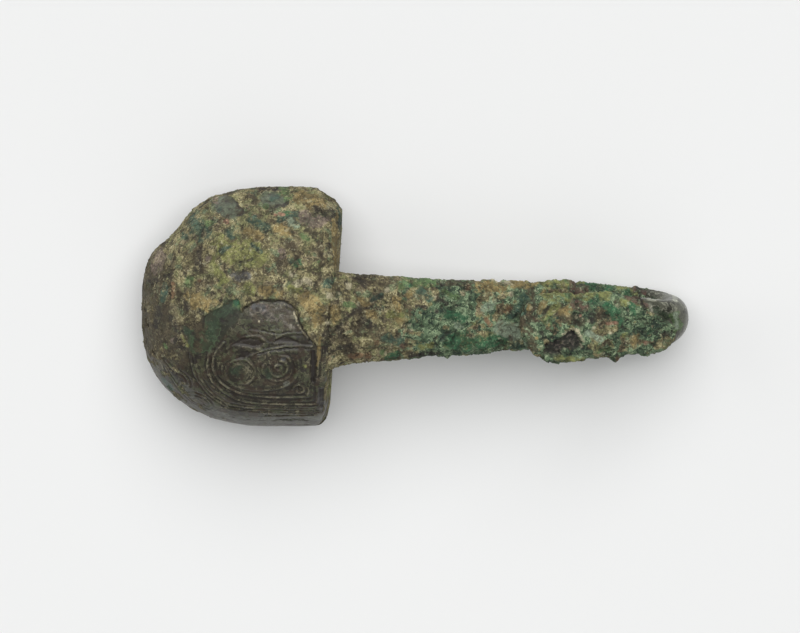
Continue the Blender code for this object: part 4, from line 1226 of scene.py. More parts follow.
class Nodes:
    """Adds nodes to a tree and links them."""

    def __init__(self, tree: Tree) -> None:
        """Remember the tree."""
        self.tree = tree

    def add(self, kind: str, inputs: dict | None = None, **settings: object) -> bpy.types.Node:
        """Add one node.

        Args:
            kind: The node's type.
            inputs: What goes into its sockets, by name or number: sockets or plain values.
            settings: The node's own settings.

        Returns:
            The new node.
        """
        node = self.tree.nodes.new(kind)
        for name, value in settings.items():
            setattr(node, name, value)
        for key, value in (inputs or {}).items():
            if isinstance(value, Socket):
                self.tree.links.new(value, node.inputs[key])
            else:
                node.inputs[key].default_value = value
        return node

    def math(self, operation: str, a: Socket | float, b: Socket | float = 0.0) -> Socket:
        """One sum of two numbers."""
        return self.add("ShaderNodeMath", {0: a, 1: b}, operation=operation).outputs[0]

    def total(self, *values: Socket | float) -> Socket:
        """Several numbers added up."""
        result = values[0]
        for value in values[1:]:
            result = self.math("ADD", result, value)
        return result

    def product(self, *values: Socket | float) -> Socket:
        """Several numbers multiplied."""
        result = values[0]
        for value in values[1:]:
            result = self.math("MULTIPLY", result, value)
        return result

    def ease(self, value: Socket, low: float, high: float, a: float = 0.0, b: float = 1.0) -> Socket:
        """A number that eases from a to b while the value goes from low to high."""
        inputs = {"Value": value, "From Min": low, "From Max": high, "To Min": a, "To Max": b}
        node = self.add("ShaderNodeMapRange", inputs, interpolation_type="SMOOTHSTEP")
        return node.outputs[0]

    def noise(self, place: Socket, size: Socket | float, detail: float = 2.0) -> Socket:
        """Noise from 0 to 1 whose features are about the given size."""
        scale = self.math("DIVIDE", 1.0, size)
        inputs = {"Vector": place, "Scale": scale, "Detail": detail, "Roughness": 0.6}
        return self.add("ShaderNodeTexNoise", inputs).outputs[0]

    def rest(self, value: Socket) -> Socket:
        """What a number lacks of one."""
        return self.math("SUBTRACT", 1.0, value)

    def centred(self, value: Socket) -> Socket:
        """A number from 0 to 1, moved to lie about nought."""
        return self.math("SUBTRACT", value, 0.5)

    def crossing(self, value: Socket, level: float, near: float, far: float) -> Socket:
        """Lines along which a value passes a level, easing out on both sides."""
        return self.ease(self.math("ABSOLUTE", self.math("SUBTRACT", value, level)), near, far, 1.0, 0.0)

    def scaled(self, vector: Socket, by: Socket | float) -> Socket:
        """A vector made longer or shorter."""
        return self.add("ShaderNodeVectorMath", {0: vector, "Scale": by}, operation="SCALE").outputs[0]

    def shifted(self, place: Socket, by: Socket | Colour) -> Socket:
        """A place moved by a vector."""
        return self.add("ShaderNodeVectorMath", {0: place, 1: by}).outputs[0]

    def dimmed(self, colour: Socket, shade: Socket) -> Socket:
        """A colour made darker or lighter by a number."""
        grey = self.add("ShaderNodeCombineColor", {0: shade, 1: shade, 2: shade}).outputs[0]
        return self.mix(1.0, colour, grey, "MULTIPLY")

    def random(self, seed: Socket | int) -> Socket:
        """A random number from 0 to 1 for each thing."""
        return self.add("FunctionNodeRandomValue", {"Seed": seed}, data_type="FLOAT").outputs[1]

    def random_vector(self, low: Colour, high: Colour, seed: int) -> Socket:
        """A random vector between two others for each thing."""
        values = {0: low, 1: high, "Seed": seed}
        return self.add("FunctionNodeRandomValue", values, data_type="FLOAT_VECTOR").outputs[0]

    def cells(self, place: Socket, size: Socket | float) -> bpy.types.Node:
        """Cells of about the given size."""
        scale = self.math("DIVIDE", 1.0, size)
        return self.add("ShaderNodeTexVoronoi", {"Vector": place, "Scale": scale})

    def mix(self, share: Socket | float, a: Socket | Colour, b: Socket | Colour,
            blend: str = "MIX") -> Socket:
        """Two colours mixed."""
        sockets = {0: share, 6: opaque(a), 7: opaque(b)}
        node = self.add("ShaderNodeMix", sockets, data_type="RGBA", blend_type=blend)
        return node.outputs[2]


def opaque(colour: Socket | Colour) -> Socket | tuple[float, ...]:
    """A colour with its alpha, or the socket as it is."""
    return colour if isinstance(colour, Socket) else (*colour, 1.0)


def new_tree(name: str, kind: str, inputs: dict[str, tuple[str, object]],
             outputs: dict[str, str]) -> tuple[Nodes, bpy.types.NodeOutputs, bpy.types.NodeInputs]:
    """Start a node group with named sockets.

    Args:
        name: Name of the group.
        kind: GeometryNodeTree or ShaderNodeTree.
        inputs: Kind of socket and value of each input.
        outputs: Kind of socket of each output.

    Returns:
        The group's nodes, the sockets that bring values in, and those that take them out.
    """
    tree = bpy.data.node_groups.new(name, kind)
    for title, (socket, value) in inputs.items():
        made = tree.interface.new_socket(title, in_out="INPUT", socket_type="NodeSocket" + socket)
        if value is not None:
            made.default_value = value
    for title, socket in outputs.items():
        tree.interface.new_socket(title, in_out="OUTPUT", socket_type="NodeSocket" + socket)
    nodes = Nodes(tree)
    return nodes, nodes.add("NodeGroupInput").outputs, nodes.add("NodeGroupOutput").inputs


def run_tree(thing: Thing, tree: Tree, values: dict[str, object]) -> None:
    """Run a geometry tree over an object and keep the mesh that comes out.

    Args:
        thing: The object.
        tree: The tree.
        values: What goes into its named inputs.
    """
    step = thing.modifiers.new(tree.name, "NODES")
    step.node_group = tree
    for item in tree.interface.items_tree:
        if item.item_type == "SOCKET" and item.in_out == "INPUT" and item.name in values:
            step[item.identifier] = values[item.name]
    baked(thing)


def in_millimetres(nodes: Nodes, place: Socket) -> Socket:
    """A place in millimetres instead of metres."""
    return nodes.scaled(place, 1000.0)


def stored(nodes: Nodes, mask: Mask) -> Socket:
    """A value that the mesh carries, inside a geometry tree."""
    node = nodes.add("GeometryNodeInputNamedAttribute", {"Name": mask.value}, data_type="FLOAT")
    return node.outputs[0]


def store(nodes: Nodes, geometry: Socket, mask: Mask, value: Socket, domain: str = "POINT") -> Socket:
    """Store a value on the geometry, and hand the geometry on."""
    inputs = {"Geometry": geometry, "Name": mask.value, "Value": value}
    node = nodes.add("GeometryNodeStoreNamedAttribute", inputs, data_type="FLOAT", domain=domain)
    return node.outputs[0]


def dress(nodes: Nodes, geometry: Socket, finish: Socket, out: Socket) -> None:
    """Keep geometry above the floor, smooth it and give it its material.

    Args:
        nodes: Nodes of the geometry tree.
        geometry: The geometry.
        finish: The material.
        out: The socket that takes the result out of the tree.
    """
    split = nodes.add("ShaderNodeSeparateXYZ", {0: nodes.add("GeometryNodeInputPosition").outputs[0]})
    lowest = nodes.math("MAXIMUM", split.outputs[2], FLOOR_GAP)
    level = nodes.add("ShaderNodeCombineXYZ", {0: split.outputs[0], 1: split.outputs[1], 2: lowest})
    place = {"Geometry": geometry, "Position": level.outputs[0]}
    geometry = nodes.add("GeometryNodeSetPosition", place).outputs[0]
    geometry = nodes.add("GeometryNodeSetShadeSmooth", {"Geometry": geometry}).outputs[0]
    geometry = nodes.add("GeometryNodeRealizeInstances", {"Geometry": geometry}).outputs[0]
    dressed = nodes.add("GeometryNodeSetMaterial", {"Geometry": geometry, "Material": finish})
    nodes.tree.links.new(dressed.outputs[0], out)


def corroded_surface() -> Tree:
    """The tree that raises threads, crust, nodules and pits on the smooth casting."""
    inputs = {
        "Geometry": ("Geometry", None),
        "Threads": ("Object", None),
        "Crack": ("Object", None),
        "Thread width": ("Float", 0.13),
        "Thread height": ("Float", 0.17),
        "Groove width": ("Float", 0.46),
        "Groove depth": ("Float", 0.11),
        "Cut depth": ("Float", 0.26),
        "Sunk depth": ("Float", 0.20),
        "Drift": ("Float", 0.30),
        "Crust": ("Float", 0.04),
        "Broken edge": ("Float", 0.20),
        "Lumps": ("Float", 0.36),
        "Grit": ("Float", 0.14),
        "Crumbs": ("Float", 0.26),
        "Ledges": ("Float", 0.16),
        "Veins": ("Float", 0.16),
        "Nodules": ("Float", 0.22),
        "Crack depth": ("Float", 0.30),
        "Finish": ("Material", None),
    }
    nodes, inp, out = new_tree("corroded surface", "GeometryNodeTree", inputs, {"Geometry": "Geometry"})
    here = nodes.add("GeometryNodeInputPosition").outputs[0]
    place = in_millimetres(nodes, here)
    crust, malachite = stored(nodes, Mask.CRUST), stored(nodes, Mask.MALACHITE)
    bare, under = stored(nodes, Mask.BARE), stored(nodes, Mask.UNDER)

    swirl = nodes.add("ShaderNodeTexNoise", {"Vector": place, "Scale": 1.2, "Detail": 1.0}).outputs["Color"]
    swirl = nodes.shifted(swirl, (-0.5, -0.5, -0.5))
    drifted = nodes.shifted(here, nodes.scaled(swirl, nodes.product(inp["Drift"], MM)))

    def edges_of(name: str) -> Socket:
        """The edges of an object that is handed in."""
        return nodes.add("GeometryNodeObjectInfo", {"Object": inp[name]}).outputs["Geometry"]

    def apart(lines: Socket, place_from: Socket) -> Socket:
        """Distance in millimetres from edges."""
        inputs = {0: lines, "Sample Position": place_from}
        near = nodes.add("GeometryNodeProximity", inputs, target_element="EDGES")
        return nodes.math("MULTIPLY", near.outputs["Distance"], 1000.0)

    threads = edges_of("Threads")
    far = apart(threads, drifted)
    nearest = nodes.add("GeometryNodeSampleNearest", {"Geometry": threads, "Sample Position": drifted})
    strength = nodes.add("GeometryNodeSampleIndex", {
        "Geometry": threads, "Value": stored(nodes, Mask.STRENGTH), "Index": nearest.outputs[0],
    }).outputs[0]
    raised_by = nodes.math("MAXIMUM", strength, 0.0)
    cut_by = nodes.math("MAXIMUM", nodes.math("MULTIPLY", strength, -1.0), 0.0)
    worn = nodes.ease(nodes.noise(place, 1.3, 3.0), 0.36, 0.62, 0.15, 1.0)
    left = nodes.product(stored(nodes, Mask.ORNAMENT), nodes.rest(nodes.product(crust, 0.55)))
    breadth = nodes.product(inp["Thread width"], nodes.ease(nodes.noise(place, 0.7), 0.3, 0.7, 0.7, 1.35))
    ridge = nodes.ease(nodes.math("DIVIDE", far, breadth), 0.2, 1.15, 1.0, 0.0)
    cut = nodes.product(ridge, cut_by, left, nodes.ease(worn, 0.1, 0.5, 0.3, 1.0))
    ridge = nodes.product(ridge, raised_by, left, worn)
    ground = nodes.ease(nodes.math("DIVIDE", far, inp["Thread width"]), 0.8, 1.7)
    fade = nodes.ease(nodes.math("DIVIDE", far, inp["Groove width"]), 0.75, 1.25, 1.0, 0.0)
    groove = nodes.product(ground, fade, left, raised_by)

    centred = {}
    for name, size in (("Lumps", 2.8), ("Crumbs", 1.1), ("Grit", 0.45), ("Waves", 1.5)):
        centred[name] = nodes.centred(nodes.noise(place, size))
    pebble = nodes.math("SUBTRACT", 0.5, nodes.cells(place, 0.62).outputs["Distance"])
    nodule = nodes.math("SUBTRACT", 0.62, nodes.cells(place, 1.05).outputs["Distance"])
    nodule = nodes.product(nodes.math("MAXIMUM", nodule, 0.0), inp["Nodules"], 2.0)
    rough = nodes.total(
        *(nodes.product(centred[name], inp[name], 2.0) for name in ("Lumps", "Crumbs", "Grit")),
        nodes.product(pebble, inp["Grit"], 0.5),
    )
    moved = nodes.shifted(place, (17.0, 5.0, 29.0))
    ledge = nodes.ease(nodes.noise(moved, 2.3, 4.0), 0.47, 0.53)
    vein = nodes.crossing(nodes.noise(moved, 1.5, 3.0), 0.5, 0.008, 0.045)
    vein = nodes.product(vein, nodes.ease(nodes.noise(moved, 3.4), 0.40, 0.58), crust)
    pitted = nodes.ease(nodes.cells(place, 1.9).outputs["Distance"], 0.10, 0.24, 1.0, 0.0)
    pitted = nodes.product(pitted, nodes.ease(nodes.noise(place, 2.8), 0.50, 0.60))
    from_crack = apart(edges_of("Crack"), here)
    cracked = nodes.ease(from_crack, 0.06, 0.22, 1.0, 0.0)
    edge = nodes.product(nodes.ease(from_crack, 0.2, 1.8, 1.0, 0.0), inp["Broken edge"])

    height = nodes.total(
        nodes.product(ridge, inp["Thread height"]),
        nodes.product(groove, inp["Groove depth"], -1.0),
        nodes.product(cut, inp["Cut depth"], -1.0),
        nodes.product(ledge, crust, inp["Ledges"]),
        nodes.product(vein, inp["Veins"], -1.0),
        nodes.product(stored(nodes, Mask.SUNK), inp["Sunk depth"], -1.0),
        nodes.product(crust, nodes.total(inp["Crust"], edge, rough)),
        nodes.product(malachite, nodule),
        nodes.product(crust, pitted, -0.28),
        nodes.product(cracked, inp["Crack depth"], -1.0, nodes.rest(under)),
        nodes.product(centred["Waves"], nodes.rest(crust), 0.10),
    )
    calm = nodes.rest(nodes.product(under, 0.5))
    normal = nodes.add("GeometryNodeInputNormal").outputs[0]
    offset = nodes.scaled(normal, nodes.product(height, calm, MM))
    detail = nodes.total(
        rough, nodes.product(malachite, nodule), nodes.product(pitted, -0.4),
        nodes.product(nodes.centred(ledge), 0.12), nodes.product(vein, -0.2),
    )
    kept = {
        Mask.THREAD: ridge,
        Mask.GROOVE: nodes.math("MAXIMUM", groove, nodes.product(cut, 1.5)),
        Mask.VEIN: vein,
        Mask.CRACK: cracked,
        Mask.HEIGHT: nodes.math("ADD", 0.5, detail),
    }
    geometry = inp["Geometry"]
    for mask, value in kept.items():
        geometry = store(nodes, geometry, mask, value)
    geometry = nodes.add("GeometryNodeSetPosition", {"Geometry": geometry, "Offset": offset}).outputs[0]
    dress(nodes, geometry, inp["Finish"], out[0])
    return nodes.tree


def scattered_grains() -> Tree:
    """The tree that strews grains of sand and mineral over the crust."""
    inputs = {
        "Geometry": ("Geometry", None),
        "Grains each square millimetre": ("Float", 11.0),
        "Smallest": ("Float", 0.09),
        "Largest": ("Float", 0.36),
        "Seed": ("Int", 1),
        "Finish": ("Material", None),
    }
    nodes, inp, out = new_tree("scattered grains", "GeometryNodeTree", inputs, {"Geometry": "Geometry"})
    place = in_millimetres(nodes, nodes.add("GeometryNodeInputPosition").outputs[0])
    calm = nodes.rest(nodes.product(stored(nodes, Mask.UNDER), 0.75))
    gathered = nodes.ease(nodes.noise(place, 2.2), 0.35, 0.62, 0.25, 1.3)
    bedded = nodes.ease(stored(nodes, Mask.CRUST), 0.35, 0.9)
    density = nodes.product(
        bedded, calm, gathered, nodes.rest(stored(nodes, Mask.PIT)),
        nodes.product(inp["Grains each square millimetre"], 1e6),
    )
    spread = nodes.add("GeometryNodeDistributePointsOnFaces", {
        "Mesh": inp["Geometry"], "Density": density, "Seed": inp["Seed"],
    }, distribute_method="RANDOM")
    rare = nodes.math("POWER", nodes.random(inp["Seed"]), 3.5)
    size = nodes.math("ADD", inp["Smallest"], nodes.product(
        rare, nodes.math("SUBTRACT", inp["Largest"], inp["Smallest"])
    ))
    size = nodes.product(size, MM)
    scale = nodes.scaled(nodes.random_vector((0.65, 0.65, 0.55), (1.1, 1.1, 1.0), 5), size)
    turn = nodes.random_vector((0.0, 0.0, 0.0), (6.3, 6.3, 6.3), 9)
    grain = nodes.add("GeometryNodeMeshIcoSphere", {"Radius": 0.5, "Subdivisions": 1}).outputs[0]
    grains = nodes.add("GeometryNodeInstanceOnPoints", {
        "Points": spread.outputs["Points"], "Instance": grain, "Rotation": turn, "Scale": scale,
    }).outputs[0]
    grains = store(nodes, grains, Mask.TONE, nodes.random(13), "INSTANCE")
    grains = nodes.add("GeometryNodeRealizeInstances", {"Geometry": grains}).outputs[0]
    dress(nodes, grains, inp["Finish"], out[0])
    return nodes.tree


# Finishes


@dataclass(frozen=True)
class Speckle:
    """Three colours of one mineral, and the size of its grain in millimetres."""

    dark: Colour
    middle: Colour
    light: Colour
    grain: float


SANDY = Speckle(srgb(76, 70, 51), srgb(128, 120, 86), srgb(184, 175, 136), 0.30)
UMBER = Speckle(srgb(50, 44, 36), srgb(88, 79, 60), srgb(152, 140, 110), 0.34)
OLIVE = Speckle(srgb(66, 67, 47), srgb(108, 109, 73), srgb(160, 159, 114), 0.32)
GREEN = Speckle(srgb(38, 52, 41), srgb(82, 101, 75), srgb(148, 166, 130), 0.36)
PATINA = Speckle(srgb(40, 36, 28), srgb(66, 63, 48), srgb(112, 107, 86), 0.5)
FILM = Speckle(srgb(42, 41, 34), srgb(52, 55, 42), srgb(66, 80, 58), 1.4)
METAL = Speckle(srgb(58, 58, 50), srgb(92, 93, 81), srgb(144, 144, 128), 0.9)
DUSTY = Speckle(srgb(72, 67, 60), srgb(108, 102, 92), srgb(148, 142, 128), 0.4)
EARTH = Speckle(srgb(54, 50, 40), srgb(88, 84, 62), srgb(122, 116, 86), 0.5)

PATINA_GREEN, PATINA_BROWN = srgb(66, 72, 50), srgb(58, 45, 35)
# The second colour on the next line is painted shade for the grooves and sunk hollows; the other two are
# brown fill and the veins' colour.
SUNK_BROWN, HOLLOW_SHADE, VEIN_BROWN = srgb(46, 37, 30), srgb(34, 29, 25), srgb(50, 44, 36)
DARK_FLECK, LIGHT_FLECK = srgb(44, 40, 34), srgb(186, 182, 150)
PIT_DARK, PIT_LIGHT, CRACK_DARK = srgb(34, 30, 30), srgb(92, 82, 76), srgb(32, 28, 25)


def speckle_group() -> Tree:
    """The group that spreads three colours as grains and finer dirt, with thin light lines as painted
    highlights on crust edges and painted shadow lines beside them.
    """
    inputs = {
        "Place": ("Vector", None),
        "Grain": ("Float", 0.5),
        "Balance": ("Float", 0.0),
        "Dark": ("Color", None),
        "Middle": ("Color", None),
        "Light": ("Color", None),
    }
    outputs = {"Color": "Color", "Value": "Float"}
    nodes, inp, out = new_tree("speckle", "ShaderNodeTree", inputs, outputs)
    fine = nodes.noise(inp["Place"], inp["Grain"], 4.0)
    cell = nodes.cells(inp["Place"], nodes.product(inp["Grain"], 0.8))
    chance = nodes.add("ShaderNodeSeparateColor", {0: cell.outputs["Color"]}).outputs[0]
    wide = nodes.noise(inp["Place"], nodes.product(inp["Grain"], 6.0), 3.0)
    value = nodes.total(
        nodes.product(fine, 0.50), nodes.product(chance, 0.05), nodes.product(wide, 0.64),
        inp["Balance"], -0.11,
    )
    # Painted light: thin light lines along one level of a noise, lit like raised crust edges, with a darker
    # line beside each as painted shadow.
    bent = nodes.noise(inp["Place"], nodes.product(inp["Grain"], 2.0), 3.0)
    some = nodes.ease(wide, 0.36, 0.56, 0.25, 1.0)
    lit_line = nodes.crossing(bent, 0.52, 0.004, 0.030)
    shadow_line = nodes.crossing(bent, 0.46, 0.004, 0.034)
    value = nodes.total(value, nodes.product(lit_line, some, 0.21), nodes.product(shadow_line, -0.17))
    low = nodes.ease(value, 0.34, 0.52)
    high = nodes.ease(value, 0.50, 0.74)
    colour = nodes.mix(high, nodes.mix(low, inp["Dark"], inp["Middle"]), inp["Light"])
    nodes.tree.links.new(colour, out["Color"])
    nodes.tree.links.new(value, out["Value"])
    return nodes.tree


def fleck_group() -> Tree:
    """The group that marks small light and dark flecks with sharp edges."""
    inputs = {"Place": ("Vector", None), "Size": ("Float", 0.4), "Share": ("Float", 0.14)}
    nodes, inp, out = new_tree("flecks", "ShaderNodeTree", inputs, {"Light": "Float", "Dark": "Float"})
    scale = nodes.math("DIVIDE", 1.6, inp["Size"])
    bent = nodes.add("ShaderNodeTexNoise", {"Vector": inp["Place"], "Scale": scale, "Detail": 2.0})
    bend = nodes.scaled(bent.outputs["Color"], nodes.product(inp["Size"], 1.3))
    cell = nodes.cells(nodes.shifted(inp["Place"], bend), inp["Size"])
    inside = nodes.ease(cell.outputs["Distance"], 0.26, 0.40, 1.0, 0.0)
    chance = nodes.add("ShaderNodeSeparateColor", {0: cell.outputs["Color"]}).outputs[0]
    rare = nodes.math("GREATER_THAN", chance, nodes.rest(inp["Share"]))
    nodes.tree.links.new(nodes.product(inside, rare), out["Light"])
    scarce = nodes.math("LESS_THAN", chance, inp["Share"])
    nodes.tree.links.new(nodes.product(inside, scarce), out["Dark"])
    return nodes.tree


class Paint(Nodes):
    """The shader nodes of one material, with its place, its masks and the shared groups at hand."""

    def __init__(self, tree: Tree, speckles: Tree, flecks: Tree) -> None:
        """Remember the groups, and find the place in millimetres."""
        super().__init__(tree)
        self.speckles, self.flecks = speckles, flecks
        self.layers: dict[Mask, Socket] = {}
        self.place = in_millimetres(self, self.add("ShaderNodeTexCoord").outputs["Object"])

    def layer(self, mask: Mask) -> Socket:
        """A value that the mesh carries."""
        if mask not in self.layers:
            node = self.add("ShaderNodeAttribute", attribute_name=mask.value)
            self.layers[mask] = node.outputs["Fac"]
        return self.layers[mask]

    def speckle(self, finish: Speckle, balance: Socket | float = 0.0) -> tuple[Socket, Socket]:
        """A mineral's colour, and how light it is."""
        values = {
            "Place": self.place, "Grain": finish.grain, "Balance": balance, "Dark": opaque(finish.dark),
            "Middle": opaque(finish.middle), "Light": opaque(finish.light),
        }
        node = self.add("ShaderNodeGroup", values, node_tree=self.speckles)
        return node.outputs["Color"], node.outputs["Value"]

    def patches(self, by: Colour, size: float, low: float, high: float, most: float) -> Socket:
        """Patches of their own, from a noise that is moved by a vector."""
        return self.ease(self.noise(self.shifted(self.place, by), size, 4.0), low, high, 0.0, most)


@dataclass(frozen=True)
class CorrodedBronze:
    """The casting's finish: patina, crust, green mineral and bare metal, by their masks."""

    name: str
    loose: bool = False
    grain_tones: tuple[float, float] = (0.55, 0.18)
    # Painted shade: how much lighter the high places and darker the low places of the surface are painted.
    height_shade: float = 0.20
    stain_cover: float = 0.84
    fleck_sizes: tuple[tuple[float, float], ...] = ((0.30, 0.12), (0.75, 0.08))
    dark_flecks: float = 0.5
    light_flecks: float = 0.34
    bump: tuple[float, float] = (0.55, 0.00022)
    metallic: float = 0.55
    specular: float = 0.42

    def smooth_metal(self, paint: Paint, raised: Socket) -> Socket:
        """Patina over the smooth relief, lighter on worn thread tops as wear and painted highlight, with
        the film and the dust that lie on it.
        """
        groove, sunk = paint.layer(Mask.GROOVE), paint.layer(Mask.SUNK)
        # Worn thread tops are painted lighter, partly as wear and partly as a painted highlight.
        rubbed_and_glinting = paint.ease(paint.noise(paint.place, 1.1), 0.35, 0.65, 0.30, 0.62)
        worn = paint.product(paint.layer(Mask.THREAD), rubbed_and_glinting)
        filled = paint.product(paint.math("MAXIMUM", groove, sunk), -0.18)
        colour, tone = paint.speckle(PATINA, paint.math("ADD", worn, filled))
        greener = paint.patches((5.0, 23.0, 3.0), 1.8, 0.46, 0.60, 0.75)
        colour = paint.mix(paint.product(greener, paint.ease(tone, 0.3, 0.6)), colour, PATINA_GREEN)
        colour = paint.mix(paint.patches((3.0, 9.0, 41.0), 1.2, 0.50, 0.60, 0.7), colour, PATINA_BROWN)
        colour = paint.mix(paint.product(sunk, 0.75), colour, SUNK_BROWN)
        colour = paint.mix(paint.layer(Mask.FILM), colour, paint.speckle(FILM)[0])
        # The dust is painted lighter on high places and darker in low ones, as painted shade.
        dusty, _ = paint.speckle(DUSTY, paint.product(raised, self.height_shade))
        settled = paint.ease(paint.noise(paint.place, 0.9, 3.0), 0.42, 0.60)
        return paint.mix(paint.product(paint.layer(Mask.DUST), settled), colour, dusty)

    def minerals(self, paint: Paint, raised: Socket, balance: Socket) -> tuple[Socket, Socket]:
        """Crust of sand, earth and green mineral, and how light its grains are.

        Args:
            paint: The material's nodes.
            raised: Height of the surface.
            balance: How much lighter than usual each place is: on the casting this is painted shade by
                height, lighter on high places and darker in low ones; on the loose grains it is a random
                tone.

        Returns:
            The colour, and how light the sand is.
        """
        colour, grit = paint.speckle(SANDY, balance)
        green, umber, olive, earth = (paint.speckle(m, balance)[0] for m in (GREEN, UMBER, OLIVE, EARTH))
        earthy = paint.math("ADD", paint.noise(paint.place, 1.5, 4.0), paint.product(raised, -0.30))
        colour = paint.mix(paint.patches((11.0, 2.0, 8.0), 2.1, 0.48, 0.60, 0.85), colour, olive)
        colour = paint.mix(paint.ease(earthy, 0.51, 0.58, 0.0, 0.85), colour, umber)
        colour = paint.mix(paint.patches((31.0, 7.0, 13.0), 1.7, 0.55, 0.64, 0.6), colour, green)
        ragged = paint.product(paint.centred(paint.noise(paint.place, 0.9, 3.0)), 2.2)
        spread = paint.ease(paint.math("ADD", paint.layer(Mask.MALACHITE), ragged), 0.40, 0.66)
        colour = paint.mix(spread, colour, green)
        return paint.mix(paint.product(paint.layer(Mask.UNDER), 0.75), colour, earth), grit

    def stained(self, paint: Paint, colour: Socket, raised: Socket, grit: Socket) -> Socket:
        """Patches of colour over metal and crust, with the crust's grain in them and painted shade by
        height; a few patches are themselves painted highlight, sheen or shadow.
        """
        stain = paint.add("ShaderNodeAttribute", attribute_name=STAIN)
        broken = paint.ease(paint.noise(paint.place, 0.5, 4.0), 0.36, 0.50, 0.30, 1.0)
        broken = paint.math("MAXIMUM", broken, paint.product(paint.layer(Mask.BARE), 0.9))
        # The stains are painted lighter on high places and darker in low ones as painted shade, on top of
        # the grain's own variation.
        light = paint.math("ADD", grit, paint.product(raised, self.height_shade))
        tinted = paint.dimmed(stain.outputs["Color"], paint.ease(light, 0.30, 0.80, 0.60, 1.50))
        return paint.mix(paint.product(stain.outputs["Alpha"], broken, self.stain_cover), colour, tinted)

    def soiled_and_shaded(self, paint: Paint, colour: Socket, raised: Socket) -> Socket:
        """Painted shade in the grooves, the sunk hollows and the crust's low places, with flecks, veins,
        the lost flake and the crack.
        """
        crust = paint.layer(Mask.CRUST)
        smooth = paint.rest(paint.ease(crust, 0.2, 0.6))
        # Painted shade: the grooves beside the threads and the sunk hollows are darkened on the smooth
        # metal.
        low = paint.math("MAXIMUM", paint.product(paint.layer(Mask.GROOVE), 0.5), paint.layer(Mask.SUNK))
        colour = paint.mix(paint.product(low, smooth, 0.55), colour, HOLLOW_SHADE)
        littered = paint.ease(crust, 0.0, 0.8, 0.20, 1.0)
        for size, share in self.fleck_sizes:
            values = {"Place": paint.place, "Size": size, "Share": share}
            marks = paint.add("ShaderNodeGroup", values, node_tree=paint.flecks).outputs
            colour = paint.mix(paint.product(marks["Dark"], littered, self.dark_flecks), colour, DARK_FLECK)
            light = paint.product(marks["Light"], self.light_flecks, littered)
            colour = paint.mix(light, colour, LIGHT_FLECK)
        colour = paint.mix(paint.product(paint.layer(Mask.VEIN), 0.45), colour, VEIN_BROWN)
        spotted = paint.ease(paint.noise(paint.place, 0.4, 3.0), 0.5, 0.66)
        flaked = paint.mix(spotted, PIT_DARK, PIT_LIGHT)
        colour = paint.mix(paint.product(paint.layer(Mask.PIT), 0.85), colour, flaked)
        cracked = paint.product(paint.layer(Mask.CRACK), paint.rest(paint.layer(Mask.UNDER)), 0.85)
        colour = paint.mix(cracked, colour, CRACK_DARK)
        # Painted shade: the crust is painted darker in its low places and a little lighter on its high
        # ones.
        shade = paint.ease(raised, -0.34, 0.12, 0.68, 1.08)
        return paint.mix(paint.ease(crust, 0.2, 0.8), colour, paint.dimmed(colour, shade))

    def material(self, speckles: Tree, flecks: Tree) -> bpy.types.Material:
        """Build the material.

        Args:
            speckles: The group that spreads speckles.
            flecks: The group that marks flecks.

        Returns:
            The material.
        """
        made = bpy.data.materials.new(self.name)
        made.use_nodes = True
        paint = Paint(made.node_tree, speckles, flecks)
        crust, bare = paint.layer(Mask.CRUST), paint.layer(Mask.BARE)
        raised = paint.centred(paint.layer(Mask.HEIGHT))
        # Painted shade: on the casting, high places are painted lighter and low places darker.
        balance = paint.product(raised, self.height_shade)
        if self.loose:
            usual, spread = self.grain_tones
            balance = paint.product(paint.math("SUBTRACT", paint.layer(Mask.TONE), usual), spread)
        mineral, grit = self.minerals(paint, raised, balance)
        colour = paint.mix(paint.ease(crust, 0.15, 0.75), self.smooth_metal(paint, raised), mineral)
        colour = paint.mix(bare, colour, paint.speckle(METAL)[0])
        colour = self.soiled_and_shaded(paint, self.stained(paint, colour, raised, grit), raised)
        rough = paint.total(
            paint.ease(crust, 0.0, 0.6, 0.42, 0.84),
            paint.product(bare, -0.10),
            paint.product(paint.centred(paint.noise(paint.place, 0.5, 3.0)), 0.35),
        )
        fine = paint.total(
            paint.product(paint.noise(paint.place, 0.22, 3.0), paint.ease(crust, 0.1, 0.8, 0.10, 0.9)),
            paint.product(paint.noise(paint.place, 0.9, 3.0), 0.25),
        )
        strength, distance = self.bump
        bump = paint.add("ShaderNodeBump", {"Strength": strength, "Distance": distance, "Height": fine})
        shader = made.node_tree.nodes["Principled BSDF"]
        links = {"Base Color": colour, "Roughness": rough, "Normal": bump.outputs[0],
                 "Metallic": paint.product(bare, self.metallic)}
        for title, socket in links.items():
            paint.tree.links.new(socket, shader.inputs[title])
        shader.inputs["Specular IOR Level"].default_value = self.specular
        return made


# Pieces


